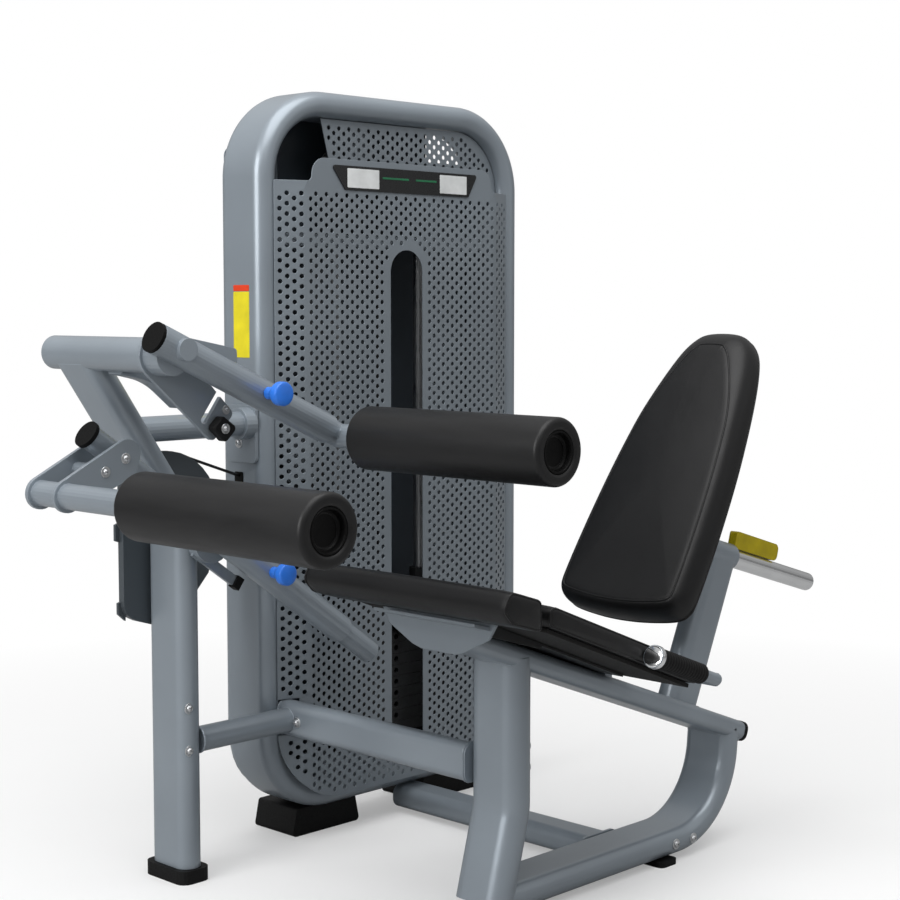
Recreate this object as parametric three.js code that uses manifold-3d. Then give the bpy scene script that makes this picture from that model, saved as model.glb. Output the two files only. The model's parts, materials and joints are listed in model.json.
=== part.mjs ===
// Seated leg-curl / leg-extension station with one guarded weight stack.
// Millimetres, +Z up. +X runs from the ankle roller towards the back pad, +Y from the seat to the weight tower.
// Pieces are drawn from a point on the floor under the knee pivot, on the seat's middle plane; the group is
// then shifted so that its origin is on the floor at the middle of the whole machine.
import * as THREE from "three";
import { mergeVertices } from "three/addons/utils/BufferGeometryUtils.js";
import Module from "manifold-3d";

const wasm = await Module();
wasm.setup();

// ---------------------------------------------------------------- driving dimensions
const MIDDLE = { x: 404.1, y: 215 }; // the machine's middle, from the point under the knee pivot
const GAP = 0.4; // clearance between separate pieces that touch
const ROUND_STEPS = 4; // steps in each half-round of a flat-oval tube
const BEND_STEP = 15; // degrees of bend for each ring of a bent tube
const CORNER_STEP = 22.5; // degrees for each step round a plate's corner

const TOWER = { x0: 178, x1: 917, top: 1495, bottom: 57, y: 627.5, depth: 130, tube: 50, bend: 150 };
const SHROUD = { left: 211, right: 871, y: 535, wing: 61, wingBack: 26, sheet: 2, base: 84, wingTop: 1315, top: 1361 };
const SLOT = { x: 543, halfWidth: 46, bottom: 140, top: 1186 };
const CABLE_R = 3;
const STACK = { x: 552, y: 634, width: 298, depth: 110, plate: 23.4, pitch: 24.2, base: 172, count: 11, lifted: 2 };
const ROD = { r: 12, spread: 122, bottom: 112, top: 1219 };
const HEAD = { thick: 34, collar: 36 };
const RISE_X = 391; // the rising cable, between the entry pulley and the top pulley

const PIVOT = { x: 0, z: 642, shaftR: 20, boreR: 20.4, housingR: 37 };
const POST = { x: -31, wide: 110, thin: 50, y: 570, lean: 34 };
const UPPER = { x: -228, z: 990, housingR: 30, y0: 352, y1: 650 };
const CAM = { y0: 626, y1: 642, x: -8, z: 672, r: 128, cableR: 125, flat: 104 };

const LEVER = { y: 470, angle: -35.5, lift: 7, sleeveR: 27, tubeR: 22, capEnd: -350, sleeveStart: -70, sleeveEnd: 358, tail: 454 };
const ANKLE = { x: -355, z: 756, axleR: 22, y0: -230, y1: 220, foamR: 56 };
const ARM = { y: 300, angle: -24.2, lift: 14, sleeveR: 27, tubeR: 22, capEnd: -38, sleeveEnd: 372 };
const THIGH = { reach: 405, y0: -228, y1: 225, foamR: 57 };
const PLATE_T = 8; // lever and arm side plates

const SEAT_W = 240; // half width of the seat pads
const RAIL = { x0: 106, z0: 517, slope: -20.3, length: 863, thin: 38, wide: 110 };
const SEAT_POST = { x: 252, bendZ: 190, footX: 207, thin: 62, wide: 114 };
const LEG = { topX: 884, floorZ: 36, cornerX: 866, bend: 165, thin: 50, wide: 110 };
const TIE = { x: 232, z: 263, thin: 40, tall: 70 };
const BEAM = { x: 590, z: 31, wide: 76, tall: 48, plate: 57, end: 590 };
const BACK = { x: 610, z: 486, recline: 33, length: 610, wide: 150, thick: 70 };
const SLIDE = { x0: 830, z0: 594, x1: 1214, slope: -16.1, r: 19 };

// ---------------------------------------------------------------- materials
function paint(hex, roughness, metalness) {
  return new THREE.MeshStandardMaterial({ color: hex, roughness, metalness });
}
const MAT = {
  frame: paint(0x9aa5ad, 0.38, 0.55),
  shroud: paint(0x8f9aa3, 0.45, 0.5),
  plate: paint(0x7e8991, 0.42, 0.5),
  cam: paint(0x3a444b, 0.5, 0.4),
  stack: paint(0x24272a, 0.6, 0.3),
  chrome: paint(0xd8dadc, 0.15, 1.0),
  rubber: paint(0x161616, 0.8, 0.0),
  vinyl: paint(0x26272a, 0.55, 0.0),
  plastic: paint(0x101112, 0.5, 0.0),
  knob: paint(0x2f74d0, 0.4, 0.0),
  yellow: paint(0xb8a012, 0.45, 0.1),
  sign: paint(0x141517, 0.5, 0.0),
  nylon: paint(0x2d3033, 0.55, 0.0),
};

// ---------------------------------------------------------------- small helpers
const rad = THREE.MathUtils.degToRad;
const along = (x, z, angle, d) => [x + d * Math.cos(rad(angle)), z + d * Math.sin(rad(angle))];
const part = new THREE.Group();

function add(name, geometry, material) {
  const mesh = new THREE.Mesh(geometry, material);
  mesh.name = name;
  part.add(mesh);
  return mesh;
}

// A closed geometry as a solid for joins and cuts.
function solid(geometry) {
  const bare = new THREE.BufferGeometry();
  bare.setAttribute("position", geometry.attributes.position.clone());
  if (geometry.index) bare.setIndex(geometry.index.clone());
  const merged = mergeVertices(bare, 1e-3);
  const mesh = new wasm.Mesh({
    numProp: 3,
    vertProperties: new Float32Array(merged.attributes.position.array),
    triVerts: new Uint32Array(merged.index.array),
  });
  return new wasm.Manifold(mesh);
}

function geometryOf(manifold) {
  const mesh = manifold.getMesh();
  const g = new THREE.BufferGeometry();
  g.setAttribute("position", new THREE.BufferAttribute(new Float32Array(mesh.vertProperties), 3));
  g.setIndex(new THREE.BufferAttribute(new Uint32Array(mesh.triVerts), 1));
  g.computeVertexNormals();
  return g;
}

function join(first, ...others) {
  return geometryOf(others.reduce((sum, g) => sum.add(solid(g)), solid(first)));
}

function cut(first, ...tools) {
  return geometryOf(tools.reduce((rest, g) => rest.subtract(solid(g)), solid(first)));
}

function common(first, second) {
  return geometryOf(solid(first).intersect(solid(second)));
}

// ---------------------------------------------------------------- shapes
// Flat-oval outline: points [a, b] with a across the thin way and b across the wide way.
function flatOval(thin, wide, radius = thin / 2) {
  const points = [];
  const corners = [
    [thin / 2 - radius, wide / 2 - radius, 0],
    [-thin / 2 + radius, wide / 2 - radius, 90],
    [-thin / 2 + radius, -wide / 2 + radius, 180],
    [thin / 2 - radius, -wide / 2 + radius, 270],
  ];
  for (const [a, b, start] of corners)
    for (let i = 0; i <= ROUND_STEPS; i++) {
      const t = rad(start + (90 * i) / ROUND_STEPS);
      const point = [a + radius * Math.cos(t), b + radius * Math.sin(t)];
      const last = points[points.length - 1];
      if (!last || Math.hypot(last[0] - point[0], last[1] - point[1]) > 1e-6) points.push(point);
    }
  const [first, last] = [points[0], points[points.length - 1]];
  if (Math.hypot(first[0] - last[0], first[1] - last[1]) < 1e-6) points.pop();
  return points;
}

// Stations along a flat path of corners [u, v, bend radius]: place and in-plane normal.
function stations(corners, closed, step = BEND_STEP) {
  const out = [];
  const n = corners.length;
  const unit = (p, q) => new THREE.Vector2(q[0] - p[0], q[1] - p[1]).normalize();
  for (let i = 0; i < n; i++) {
    const here = corners[i];
    const before = closed || i > 0 ? unit(corners[(i + n - 1) % n], here) : unit(here, corners[i + 1]);
    const after = closed || i < n - 1 ? unit(here, corners[(i + 1) % n]) : before;
    const turn = Math.atan2(before.cross(after), before.dot(after));
    const r = here[2] || 0;
    if (!r || Math.abs(turn) < 1e-6) {
      const half = before.clone().add(after).normalize();
      const stretch = 1 / Math.max(half.dot(before), 0.3);
      out.push({ u: here[0], v: here[1], nu: -half.y * stretch, nv: half.x * stretch });
      continue;
    }
    const back = r * Math.tan(Math.abs(turn) / 2);
    const side = Math.sign(turn);
    const centre = [
      here[0] - before.x * back - before.y * r * side,
      here[1] - before.y * back + before.x * r * side,
    ];
    const steps = Math.max(2, Math.ceil(Math.abs(THREE.MathUtils.radToDeg(turn)) / step));
    for (let k = 0; k <= steps; k++) {
      const a = (turn * k) / steps;
      const dir = new THREE.Vector2(
        before.x * Math.cos(a) - before.y * Math.sin(a),
        before.x * Math.sin(a) + before.y * Math.cos(a),
      );
      out.push({ u: centre[0] + dir.y * r * side, v: centre[1] - dir.x * r * side, nu: -dir.y, nv: dir.x });
    }
  }
  return out;
}

const PLANES = {
  xz: (u, v, w) => [u, w, v],
  yz: (u, v, w) => [w, u, v],
  xy: (u, v, w) => [u, v, w],
};

// A section swept along a flat path in the plane xz, yz or xy, at offset `at` on the third axis.
function sweep({ plane, at, path, section, closed = false }) {
  const rings = stations(path, closed);
  const place = PLANES[plane];
  const positions = [];
  const index = [];
  const count = section.length;
  for (const s of rings)
    for (const [a, b] of section) positions.push(...place(s.u + s.nu * a, s.v + s.nv * a, at + b));
  const vertex = (ring, k) => ring * count + (k % count);
  const spans = closed ? rings.length : rings.length - 1;
  for (let i = 0; i < spans; i++)
    for (let k = 0; k < count; k++) {
      const j = (i + 1) % rings.length;
      index.push(vertex(i, k), vertex(j, k), vertex(j, k + 1));
      index.push(vertex(i, k), vertex(j, k + 1), vertex(i, k + 1));
    }
  const last = rings.length - 1;
  for (let k = 1; !closed && k < count - 1; k++) {
    index.push(vertex(0, 0), vertex(0, k), vertex(0, k + 1));
    index.push(vertex(last, 0), vertex(last, k + 1), vertex(last, k));
  }
  return faceOut(positions, index);
}

// Builds the geometry, turning every face round if the volume came out negative.
function faceOut(positions, index) {
  let volume = 0;
  const p = (i) => new THREE.Vector3(positions[3 * i], positions[3 * i + 1], positions[3 * i + 2]);
  for (let i = 0; i < index.length; i += 3)
    volume += p(index[i]).dot(p(index[i + 1]).cross(p(index[i + 2])));
  if (volume < 0)
    for (let i = 0; i < index.length; i += 3) [index[i + 1], index[i + 2]] = [index[i + 2], index[i + 1]];
  const g = new THREE.BufferGeometry();
  g.setAttribute("position", new THREE.Float32BufferAttribute(positions, 3));
  g.setIndex(index);
  g.computeVertexNormals();
  return g;
}

// A flat-oval tube: thin lies in the path's plane, wide across it.
function tube(plane, at, path, thin, wide, { radius, closed = false } = {}) {
  return sweep({ plane, at, path, section: flatOval(thin, wide, radius), closed });
}

// A cylinder between two points.
function rod(from, to, r, segments = 24) {
  const a = new THREE.Vector3(...from);
  const b = new THREE.Vector3(...to);
  const g = new THREE.CylinderGeometry(r, r, a.distanceTo(b), segments);
  const turn = new THREE.Quaternion().setFromUnitVectors(
    new THREE.Vector3(0, 1, 0),
    b.clone().sub(a).normalize(),
  );
  g.applyQuaternion(turn);
  const mid = a.add(b).multiplyScalar(0.5);
  g.translate(mid.x, mid.y, mid.z);
  return g;
}

// A turned piece on an axis along +Y (or +X, +Z): profile points [radius, distance along the axis].
function turned(profile, axis, at, segments = 28) {
  const g = new THREE.LatheGeometry(profile.map(([r, d]) => new THREE.Vector2(r, d)), segments);
  if (axis === "x") g.rotateZ(-Math.PI / 2);
  if (axis === "z") g.rotateX(Math.PI / 2);
  g.translate(...at);
  const index = Array.from(g.index.array);
  return faceOut(Array.from(g.attributes.position.array), index);
}

// A flat plate from an outline of [u, v] points or a THREE.Shape, between two offsets on the third axis.
function plate(outline, plane, from, to) {
  const shape = outline instanceof THREE.Shape ? outline : new THREE.Shape(outline.map((p) => new THREE.Vector2(...p)));
  const g = new THREE.ExtrudeGeometry(shape, { depth: to - from, bevelEnabled: false, curveSegments: 10 });
  const old = g.attributes.position;
  const positions = [];
  for (let i = 0; i < old.count; i++) positions.push(...PLANES[plane](old.getX(i), old.getY(i), from + old.getZ(i)));
  const index = Array.from({ length: old.count }, (_, i) => i);
  const flat = faceOut(positions, index);
  return mergeVertices(bare(flat), 1e-4);
}

function bare(g) {
  const out = new THREE.BufferGeometry();
  out.setAttribute("position", g.attributes.position);
  out.setIndex(g.index);
  return out;
}

// An outline with each corner [x, y, r] rounded to radius r.
function rounded(corners, step = CORNER_STEP) {
  const shape = new THREE.Shape();
  stations(corners, true, step).forEach((s, i) => (i ? shape.lineTo(s.u, s.v) : shape.moveTo(s.u, s.v)));
  shape.closePath();
  return shape;
}

// The tight outline round a few circles [x, y, r]: a plate whose corners follow its pins.
function around(circles) {
  const steps = 28;
  const points = circles.flatMap(([x, y, r]) =>
    Array.from({ length: steps }, (_, i) => [
      x + r * Math.cos((2 * Math.PI * i) / steps),
      y + r * Math.sin((2 * Math.PI * i) / steps),
    ]),
  );
  points.sort((p, q) => p[0] - q[0] || p[1] - q[1]);
  const turnOf = (o, p, q) => (p[0] - o[0]) * (q[1] - o[1]) - (p[1] - o[1]) * (q[0] - o[0]);
  const half = (list) => {
    const chain = [];
    for (const p of list) {
      while (chain.length > 1 && turnOf(chain[chain.length - 2], chain[chain.length - 1], p) <= 1e-6) chain.pop();
      chain.push(p);
    }
    chain.pop();
    return chain;
  };
  return [...half(points), ...half(points.slice().reverse())];
}

function box(x0, x1, y0, y1, z0, z1) {
  const g = new THREE.BoxGeometry(x1 - x0, y1 - y0, z1 - z0);
  g.translate((x0 + x1) / 2, (y0 + y1) / 2, (z0 + z1) / 2);
  return g;
}

// ---------------------------------------------------------------- weight tower
function tower() {
  const { x0, x1, top, bottom, y, depth, tube: thin, bend } = TOWER;
  const half = thin / 2;
  const loop = [
    [x0 + half, bottom + half, bend],
    [x1 - half, bottom + half, bend],
    [x1 - half, top - half, bend],
    [x0 + half, top - half, bend],
  ];
  const hoop = tube("xz", y, loop, thin, depth, { closed: true });
  // The cable swings in the front upright's slot as the cam turns, so the slot is tall and lower inside.
  const slot = { y0: STACK.y - 17, y1: STACK.y + 17 };
  const outer = box(x0 - 5, x0 + 22, slot.y0, slot.y1, 706, 761);
  const inner = box(x0 + 17, x0 + thin + 7, slot.y0, slot.y1, 700, 748);
  add("tower_hoop", cut(hoop, outer, inner), MAT.frame);

  for (const [name, from, to] of [
    ["tower_foot_front", x0 + 97, x0 + 280],
    ["tower_foot_rear", x1 - 280, x1 - 97],
  ]) {
    const side = [[from, 0, 8], [to, 0, 8], [to - 12, bottom - GAP, 6], [from + 12, bottom - GAP, 6]];
    add(name, plate(rounded(side), "xz", 594, 715), MAT.rubber);
  }
  frontShroud();
  rearShroud();
  signAndTopPanel();
}

function frontShroud() {
  const { left, right, y, wing, wingBack, sheet, base, wingTop, top } = SHROUD;
  const back = y + wingBack;
  const plan = [
    [left, back],
    [left + wing, y],
    [right - wing, y],
    [right, back],
    [right, back + sheet],
    [right - wing, y + sheet],
    [left + wing, y + sheet],
    [left, back + sheet],
  ];
  const folded = plate(plan, "xy", base - 20, top + 20);
  const shoulder = wing + 14;
  const outline = rounded([
    [left - 1, base, 150],
    [right + 1, base, 150],
    [right + 1, wingTop, 3],
    [right - shoulder, wingTop, 12],
    [right - shoulder, top, 33],
    [left + shoulder, top, 33],
    [left + shoulder, wingTop, 12],
    [left - 1, wingTop, 3],
  ]);
  const window = rounded([
    [SLOT.x - SLOT.halfWidth, SLOT.bottom, 4],
    [SLOT.x + SLOT.halfWidth, SLOT.bottom, 4],
    [SLOT.x + SLOT.halfWidth, SLOT.top, SLOT.halfWidth - 0.5],
    [SLOT.x - SLOT.halfWidth, SLOT.top, SLOT.halfWidth - 0.5],
  ]);
  const face = common(folded, plate(outline, "xz", y - 5, back + 8));
  // Tabs fasten the right wing to the tower; the left wing is notched round the cross tie.
  const tabs = [260, 740, 1220].map((z) => box(right - 6, right, back - 3, back + 13, z, z + 30));
  const notch = box(left - 5, TIE.x + TIE.thin / 2 + 1, y - 5, back + 8, TIE.z - TIE.tall / 2 - 1, TIE.z + TIE.tall / 2 + 1);
  add("front_shroud", cut(join(face, ...tabs), plate(window, "xz", y - 5, y + 8), notch), MAT.shroud);
}

// A flat sheet on the back of the tower hoop, stepped in towards its top.
function rearShroud() {
  const back = TOWER.y + TOWER.depth / 2 + GAP;
  const step = 1386;
  const high = TOWER.top - 17;
  const low = TOWER.bottom + 18;
  const outline = rounded([
    [TOWER.x0 + 18, low, 132],
    [TOWER.x1 - 18, low, 132],
    [TOWER.x1 - 18, step, 20],
    [750, step, 12],
    [750, high, 12],
    [335, high, 12],
    [335, step, 12],
    [TOWER.x0 + 18, step, 20],
  ]);
  add("rear_shroud", plate(outline, "xz", back, back + 2), MAT.cam);
}

function signAndTopPanel() {
  const mid = SLOT.x;
  const front = SHROUD.y - GAP;
  const sign = rounded([[mid - 171, 1301, 5], [mid + 180, 1301, 5], [mid + 208, 1349, 5], [mid - 208, 1349, 5]]);
  add("placard", plate(sign, "xz", front - 2, front), MAT.sign);
  const high = TOWER.top - TOWER.tube - 1.4;
  const right = TOWER.x1 - TOWER.tube - 1.4;
  const band = rounded([
    [mid - 151, 1310, 0],
    [right, 1310, 0],
    [right, high, TOWER.bend - TOWER.tube / 2 + 2],
    [mid - 187, high, 0],
  ]);
  add("top_panel", plate(band, "xz", 588, 590), MAT.shroud);
}

// ---------------------------------------------------------------- guide rods, stack and cable
function rodPlaces() {
  return [STACK.x - ROD.spread, STACK.x + ROD.spread];
}

function guideRods() {
  const left = TOWER.x0 + TOWER.tube + GAP;
  const right = TOWER.x1 - TOWER.tube - GAP;
  const base = TOWER.bottom + TOWER.tube + GAP;
  const baseTop = 148;
  const bar = { y0: STACK.y - 27, y1: STACK.y + 27, z0: 1192, z1: 1216 };
  const bores = (r) => rodPlaces().map((x) => rod([x, STACK.y, 0], [x, STACK.y, 1400], r, 20));
  const cableHoles = [RISE_X, STACK.x].map((x) => rod([x, STACK.y, bar.z0 - 5], [x, STACK.y, bar.z1 + 5], 8, 12));
  const topBar = box(left, right, bar.y0, bar.y1, bar.z0, bar.z1);
  add("rod_top_bar", cut(topBar, ...cableHoles, ...bores(ROD.r + GAP)), MAT.frame);
  add("rod_base_bar", cut(box(360, 735, bar.y0, bar.y1, base, baseTop), ...bores(ROD.r + GAP)), MAT.frame);
  rodPlaces().forEach((x, i) => {
    const side = i ? "rear" : "front";
    add("guide_rod_" + side, rod([x, STACK.y, ROD.bottom], [x, STACK.y, ROD.top], ROD.r, 20), MAT.chrome);
    const tall = STACK.base - baseTop - 2 * GAP;
    const bumper = [[ROD.r + 1, 0], [28, 0], [26, tall], [ROD.r + 1, tall], [ROD.r + 1, 0]];
    add("stack_bumper_" + side, turned(bumper, "z", [x, STACK.y, baseTop + GAP], 20), MAT.rubber);
  });
}

const plateZ = (i) => STACK.base + (STACK.count - 1 - i) * STACK.pitch;

// One weight plate: a bar with rod holes, a stem hole and a keyhole for the pin at the front.
function weightPlate(z, thick, keyhole = true) {
  const { x, y, width, depth } = STACK;
  const slab = box(x - width / 2, x + width / 2, y - depth / 2, y + depth / 2, z, z + thick);
  const holes = rodPlaces().map((at) => rod([at, y, z - 5], [at, y, z + thick + 5], ROD.r + 2, 12));
  holes.push(rod([x, y, z - 5], [x, y, z + thick + 5], 15, 12));
  if (keyhole) holes.push(rod([x, y - depth, z + thick / 2], [x, y, z + thick / 2], 6.4, 8));
  return cut(slab, ...holes);
}

function stack() {
  const { x, y, count, lifted, plate: thick, base, width, depth } = STACK;
  for (let i = 0; i < lifted; i++) add("weight_plate_" + (i + 1), weightPlate(plateZ(i), thick), MAT.stack);
  // The plates that stay down touch on raised pads, so they are one solid with grooves between them.
  const top = plateZ(lifted) + thick;
  const block = box(x - width / 2, x + width / 2, y - depth / 2, y + depth / 2, base, top);
  const grooves = [];
  const keyholes = [];
  for (let i = lifted; i < count; i++) {
    keyholes.push(rod([x, y - depth, plateZ(i) + thick / 2], [x, y, plateZ(i) + thick / 2], 6.4, 8));
    if (i === lifted) continue;
    const [low, high] = [plateZ(i) + thick, plateZ(i - 1)];
    const ring = box(x - width, x + width, y - depth, y + depth, low, high);
    grooves.push(cut(ring, box(x - width / 2 + 6, x + width / 2 - 6, y - depth / 2 + 6, y + depth / 2 - 6, low - 1, high + 1)));
  }
  const bores = rodPlaces().map((at) => rod([at, y, base - 5], [at, y, top + 5], ROD.r + 2, 12));
  bores.push(rod([x, y, base - 5], [x, y, top + 5], 15, 12));
  add("weight_plates_lower", cut(block, ...grooves, ...bores, ...keyholes), MAT.stack);

  const headZ = plateZ(0) + thick + GAP;
  const headTop = headZ + HEAD.thick;
  const boss = rod([x, y, headTop - 2], [x, y, headTop + 22], 22, 16);
  const collars = rodPlaces().map((at) => rod([at, y, headTop - 2], [at, y, headTop + HEAD.collar], 21, 16));
  const bore = rod([x, y, headZ - 5], [x, y, headZ + 120], 12.5, 16);
  const guides = rodPlaces().map((at) => rod([at, y, headZ - 5], [at, y, headZ + 120], ROD.r + 1, 16));
  add("head_plate", cut(join(weightPlate(headZ, HEAD.thick, false), boss, ...collars), bore, ...guides), MAT.stack);

  const stemTop = headZ + HEAD.thick + 40;
  const stem = rod([x, y, base - 6], [x, y, stemTop], 12, 16);
  const pinHoles = [];
  for (let i = 0; i < count; i++) pinHoles.push(rod([x, y - 20, plateZ(i) + thick / 2], [x, y + 20, plateZ(i) + thick / 2], 6.2, 8));
  add("selector_stem", cut(stem, ...pinHoles), MAT.chrome);

  const pinZ = plateZ(lifted - 1) + thick / 2;
  const frontY = y - depth / 2;
  const pin = [[0, 0], [5, 0], [5, 58], [13, 58.5], [13, 66], [20, 74], [20, 80], [0, 80]];
  add("selector_pin", turned(pin.map(([r, d]) => [r, -d]), "y", [x, frontY + 56, pinZ], 16), MAT.plastic);

  return stemTop;
}

// A grooved pulley whose cable runs at the pitch radius.
function sheave(name, x, z, pitch) {
  const groove = pitch - CABLE_R - 0.5;
  const rim = pitch + 5;
  const profile = [[8, -10], [rim, -10], [rim, -8], [groove, -4], [groove, 4], [rim, 8], [rim, 10], [8, 10], [8, -10]];
  add(name, turned(profile, "y", [x, STACK.y, z], 32), MAT.nylon);
}

function cables(stemTop) {
  const { x, y } = STACK;
  const topR = (x - RISE_X) / 2;
  const top = { x: x - topR, z: 1318 };
  // The cable leaves the cam's groove at a slope and meets the entry pulley's underside.
  const slope = -19;
  const start = along(CAM.x, CAM.z, 90 + slope, CAM.cableR);
  const entry = { r: 50, x: RISE_X - 50 };
  const [ex, ez] = along(0, 0, 270 + slope, entry.r);
  entry.z = start[1] + (entry.x + ex - start[0]) * Math.tan(rad(slope)) - ez;
  const end = [entry.x + ex, entry.z + ez];
  sheave("top_pulley", top.x, top.z, topR);
  sheave("entry_pulley", entry.x, entry.z, entry.r);
  const axle = (p, y0, y1) => rod([p.x, y0, p.z], [p.x, y1, p.z], 7.5, 16);
  const ceiling = TOWER.top - TOWER.tube - GAP;
  const cheek = (y0, y1) => box(top.x - 22, top.x + 22, y0, y1, top.z - 22, ceiling - 4);
  const hanger = join(
    box(top.x - 40, top.x + 40, y - 29, y + 29, ceiling - 8, ceiling),
    cheek(y - 29, y - 23),
    cheek(y + 23, y + 29),
    axle(top, y - 27, y + 27),
  );
  add("top_pulley_hanger", hanger, MAT.plate);
  // The entry pulley's bracket is a yoke that reaches back to the tower's front upright.
  const wallX = TOWER.x0 + TOWER.tube + GAP;
  const arm = (y0, y1) => box(wallX + 4, entry.x + 22, y0, y1, entry.z - 16, entry.z + 90);
  const yoke = join(
    box(wallX, wallX + 8, y - 31, y + 31, entry.z + 62, entry.z + 110),
    arm(y - 21, y - 14),
    arm(y + 14, y + 21),
    axle(entry, y - 19, y + 19),
  );
  const relief = box(wallX - 1, entry.x - 55, y - 41, y + 41, entry.z - 40, entry.z + 62);
  add("entry_pulley_yoke", cut(yoke, relief), MAT.plate);

  add("cable_run", rod([start[0], y, start[1]], [end[0], y, end[1]], CABLE_R, 8), MAT.rubber);
  add("cable_rise", rod([RISE_X, y, entry.z], [RISE_X, y, top.z], CABLE_R, 8), MAT.rubber);
  add("cable_drop", rod([x, y, stemTop + GAP], [x, y, top.z], CABLE_R, 8), MAT.rubber);
}

// ---------------------------------------------------------------- left upright and ties
// The leaning half of the upright passes through the knee pivot.
const leanX = (z) => (PIVOT.z - z) * Math.tan(rad(POST.lean));

function leftUpright() {
  const { wide, thin, y, lean } = POST;
  const topZ = UPPER.z - 6;
  const bendZ = PIVOT.z - POST.x / Math.tan(rad(lean));
  const legs = [[POST.x, 26], [POST.x, bendZ, 120], [leanX(topZ), topZ]];
  const post = tube("xz", y, legs, thin, wide);
  const lower = rod([PIVOT.x, 515.5, PIVOT.z], [PIVOT.x, CAM.y0 - GAP, PIVOT.z], PIVOT.housingR, 28);
  const upper = rod([UPPER.x, UPPER.y0, UPPER.z], [UPPER.x, UPPER.y1, UPPER.z], UPPER.housingR, 28);
  // A curved strap below the upper housing is the thigh arm's stop.
  const strapPath = [[UPPER.x + 4, UPPER.z - 26], [UPPER.x + 76, UPPER.z - 42, 130], [UPPER.x + 136, UPPER.z - 92]];
  const strap = sweep({ plane: "xz", at: 470, path: strapPath, section: flatOval(18, 40, 4) });
  const bores = [
    rod([PIVOT.x, 400, PIVOT.z], [PIVOT.x, 700, PIVOT.z], PIVOT.boreR, 28),
    rod([UPPER.x, 300, UPPER.z], [UPPER.x, 800, UPPER.z], PIVOT.boreR, 28),
  ];
  add("left_upright", cut(join(post, lower, upper, strap), ...bores), MAT.frame);
  const [fx, fy] = [thin / 2 + 9, wide / 2 + 7];
  const foot = rounded([
    [POST.x - fx, y - fy, 20],
    [POST.x + fx, y - fy, 20],
    [POST.x + fx, y + fy, 20],
    [POST.x - fx, y + fy, 20],
  ]);
  add("post_foot", plate(foot, "xy", 0, 26 - GAP), MAT.rubber);

  // Upper tie: a round tube with a bolted flange on the tower's front upright.
  const faceX = TOWER.x0 - GAP;
  const tieZ = 845;
  const postX = leanX(tieZ) + thin / 2 / Math.cos(rad(lean));
  const flange = rounded([[574, 768, 10], [664, 768, 10], [664, 880, 10], [574, 880, 10]]);
  const tie = join(
    rod([postX + 14, 600, tieZ], [faceX - 4, 600, tieZ], 24),
    rod([faceX - 30, 600, tieZ], [faceX - 4, 600, tieZ], 31),
    plate(flange, "yz", faceX - 7, faceX),
  );
  add("upper_tie", trimToPost(tie, y, lean, thin), MAT.frame);
}

// Takes away everything within a tie that would reach into the leaning post.
function trimToPost(tie, y, lean, thin) {
  const far = 400;
  const clear = thin / 2 / Math.cos(rad(lean)) + GAP;
  const wedge = [
    [leanX(far) + clear, far],
    [leanX(1200) + clear, 1200],
    [leanX(1200) - 600, 1200],
    [leanX(far) - 600, far],
  ];
  return cut(tie, plate(wedge, "xz", y - 80, y + 80));
}

function ties() {
  const hoopFace = TOWER.y - TOWER.depth / 2;
  const bar = tube("xy", TIE.z, [[TIE.x, 42], [TIE.x, hoopFace - GAP]], TIE.thin, TIE.tall, { radius: 18 });
  const reach = rod([POST.x + POST.thin / 2 + GAP, 537, TIE.z], [TIE.x, 537, TIE.z], 24);
  const { x, thin, wide } = SEAT_POST;
  const seatPost = flatOval(thin + 2 * GAP, wide + 2 * GAP).map(([a, b]) => [x + a, b]);
  add("cross_tie", cut(join(bar, reach), plate(seatPost, "xy", TIE.z - 60, TIE.z + 60)), MAT.frame);
  const side = LEG.wide / 2 + GAP;
  const beam = tube("xy", BEAM.z, [[BEAM.x, side + 2], [BEAM.x, BEAM.end]], BEAM.wide, BEAM.tall, { radius: 20 });
  const seatEnd = rounded([
    [BEAM.x - BEAM.plate, 8, 20],
    [BEAM.x + BEAM.plate, 8, 20],
    [BEAM.x + BEAM.plate, 56, 20],
    [BEAM.x - BEAM.plate, 56, 20],
  ]);
  add("base_beam", join(beam, plate(seatEnd, "xz", side, side + 6)), MAT.frame);
}

// ---------------------------------------------------------------- seat frame
const railZ = (x) => RAIL.z0 + (x - RAIL.x0) * Math.tan(rad(RAIL.slope));

// The space the seat rail fills, with a clearance all round.
function railEnvelope() {
  const [from, to] = [-GAP, RAIL.length + 20].map((d) => along(RAIL.x0, RAIL.z0, RAIL.slope, d));
  return tube("xz", 0, [from, to], RAIL.thin + 2 * GAP, RAIL.wide + 2 * GAP, { radius: 15 });
}

function seatFrame() {
  const end = along(RAIL.x0, RAIL.z0, RAIL.slope, RAIL.length);
  const { x: postX, bendZ, footX, thin, wide } = SEAT_POST;
  const rail = tube("xz", 0, [[RAIL.x0, RAIL.z0], end], RAIL.thin, RAIL.wide, { radius: 15 });
  const post = tube("xz", 0, [[footX, 26], [postX, bendZ, 120], [postX, railZ(postX)]], thin, wide);
  const leg = tube(
    "xz", 0,
    [[LEG.topX, railZ(LEG.topX)], [LEG.cornerX, LEG.floorZ, LEG.bend], [footX + 4, LEG.floorZ]],
    LEG.thin, LEG.wide, { radius: 22 },
  );
  add("seat_frame", join(rail, post, leg), MAT.frame);
  const plug = sweep({
    plane: "xz", at: 0,
    path: [along(...end, RAIL.slope, GAP), along(...end, RAIL.slope, 9)],
    section: flatOval(RAIL.thin + 2, RAIL.wide + 2, 15),
  });
  add("rail_end_cap", plug, MAT.plastic);
  const footTop = LEG.floorZ - LEG.thin / 2 - GAP;
  for (const [name, x0, x1] of [["seat_foot_front", 165, 255], ["seat_foot_rear", 638, 690]]) {
    const pad = rounded([[x0, -62, 12], [x1, -62, 12], [x1, 62, 12], [x0, 62, 12]]);
    add(name, plate(pad, "xy", 0, footTop), MAT.rubber);
  }
}

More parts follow.
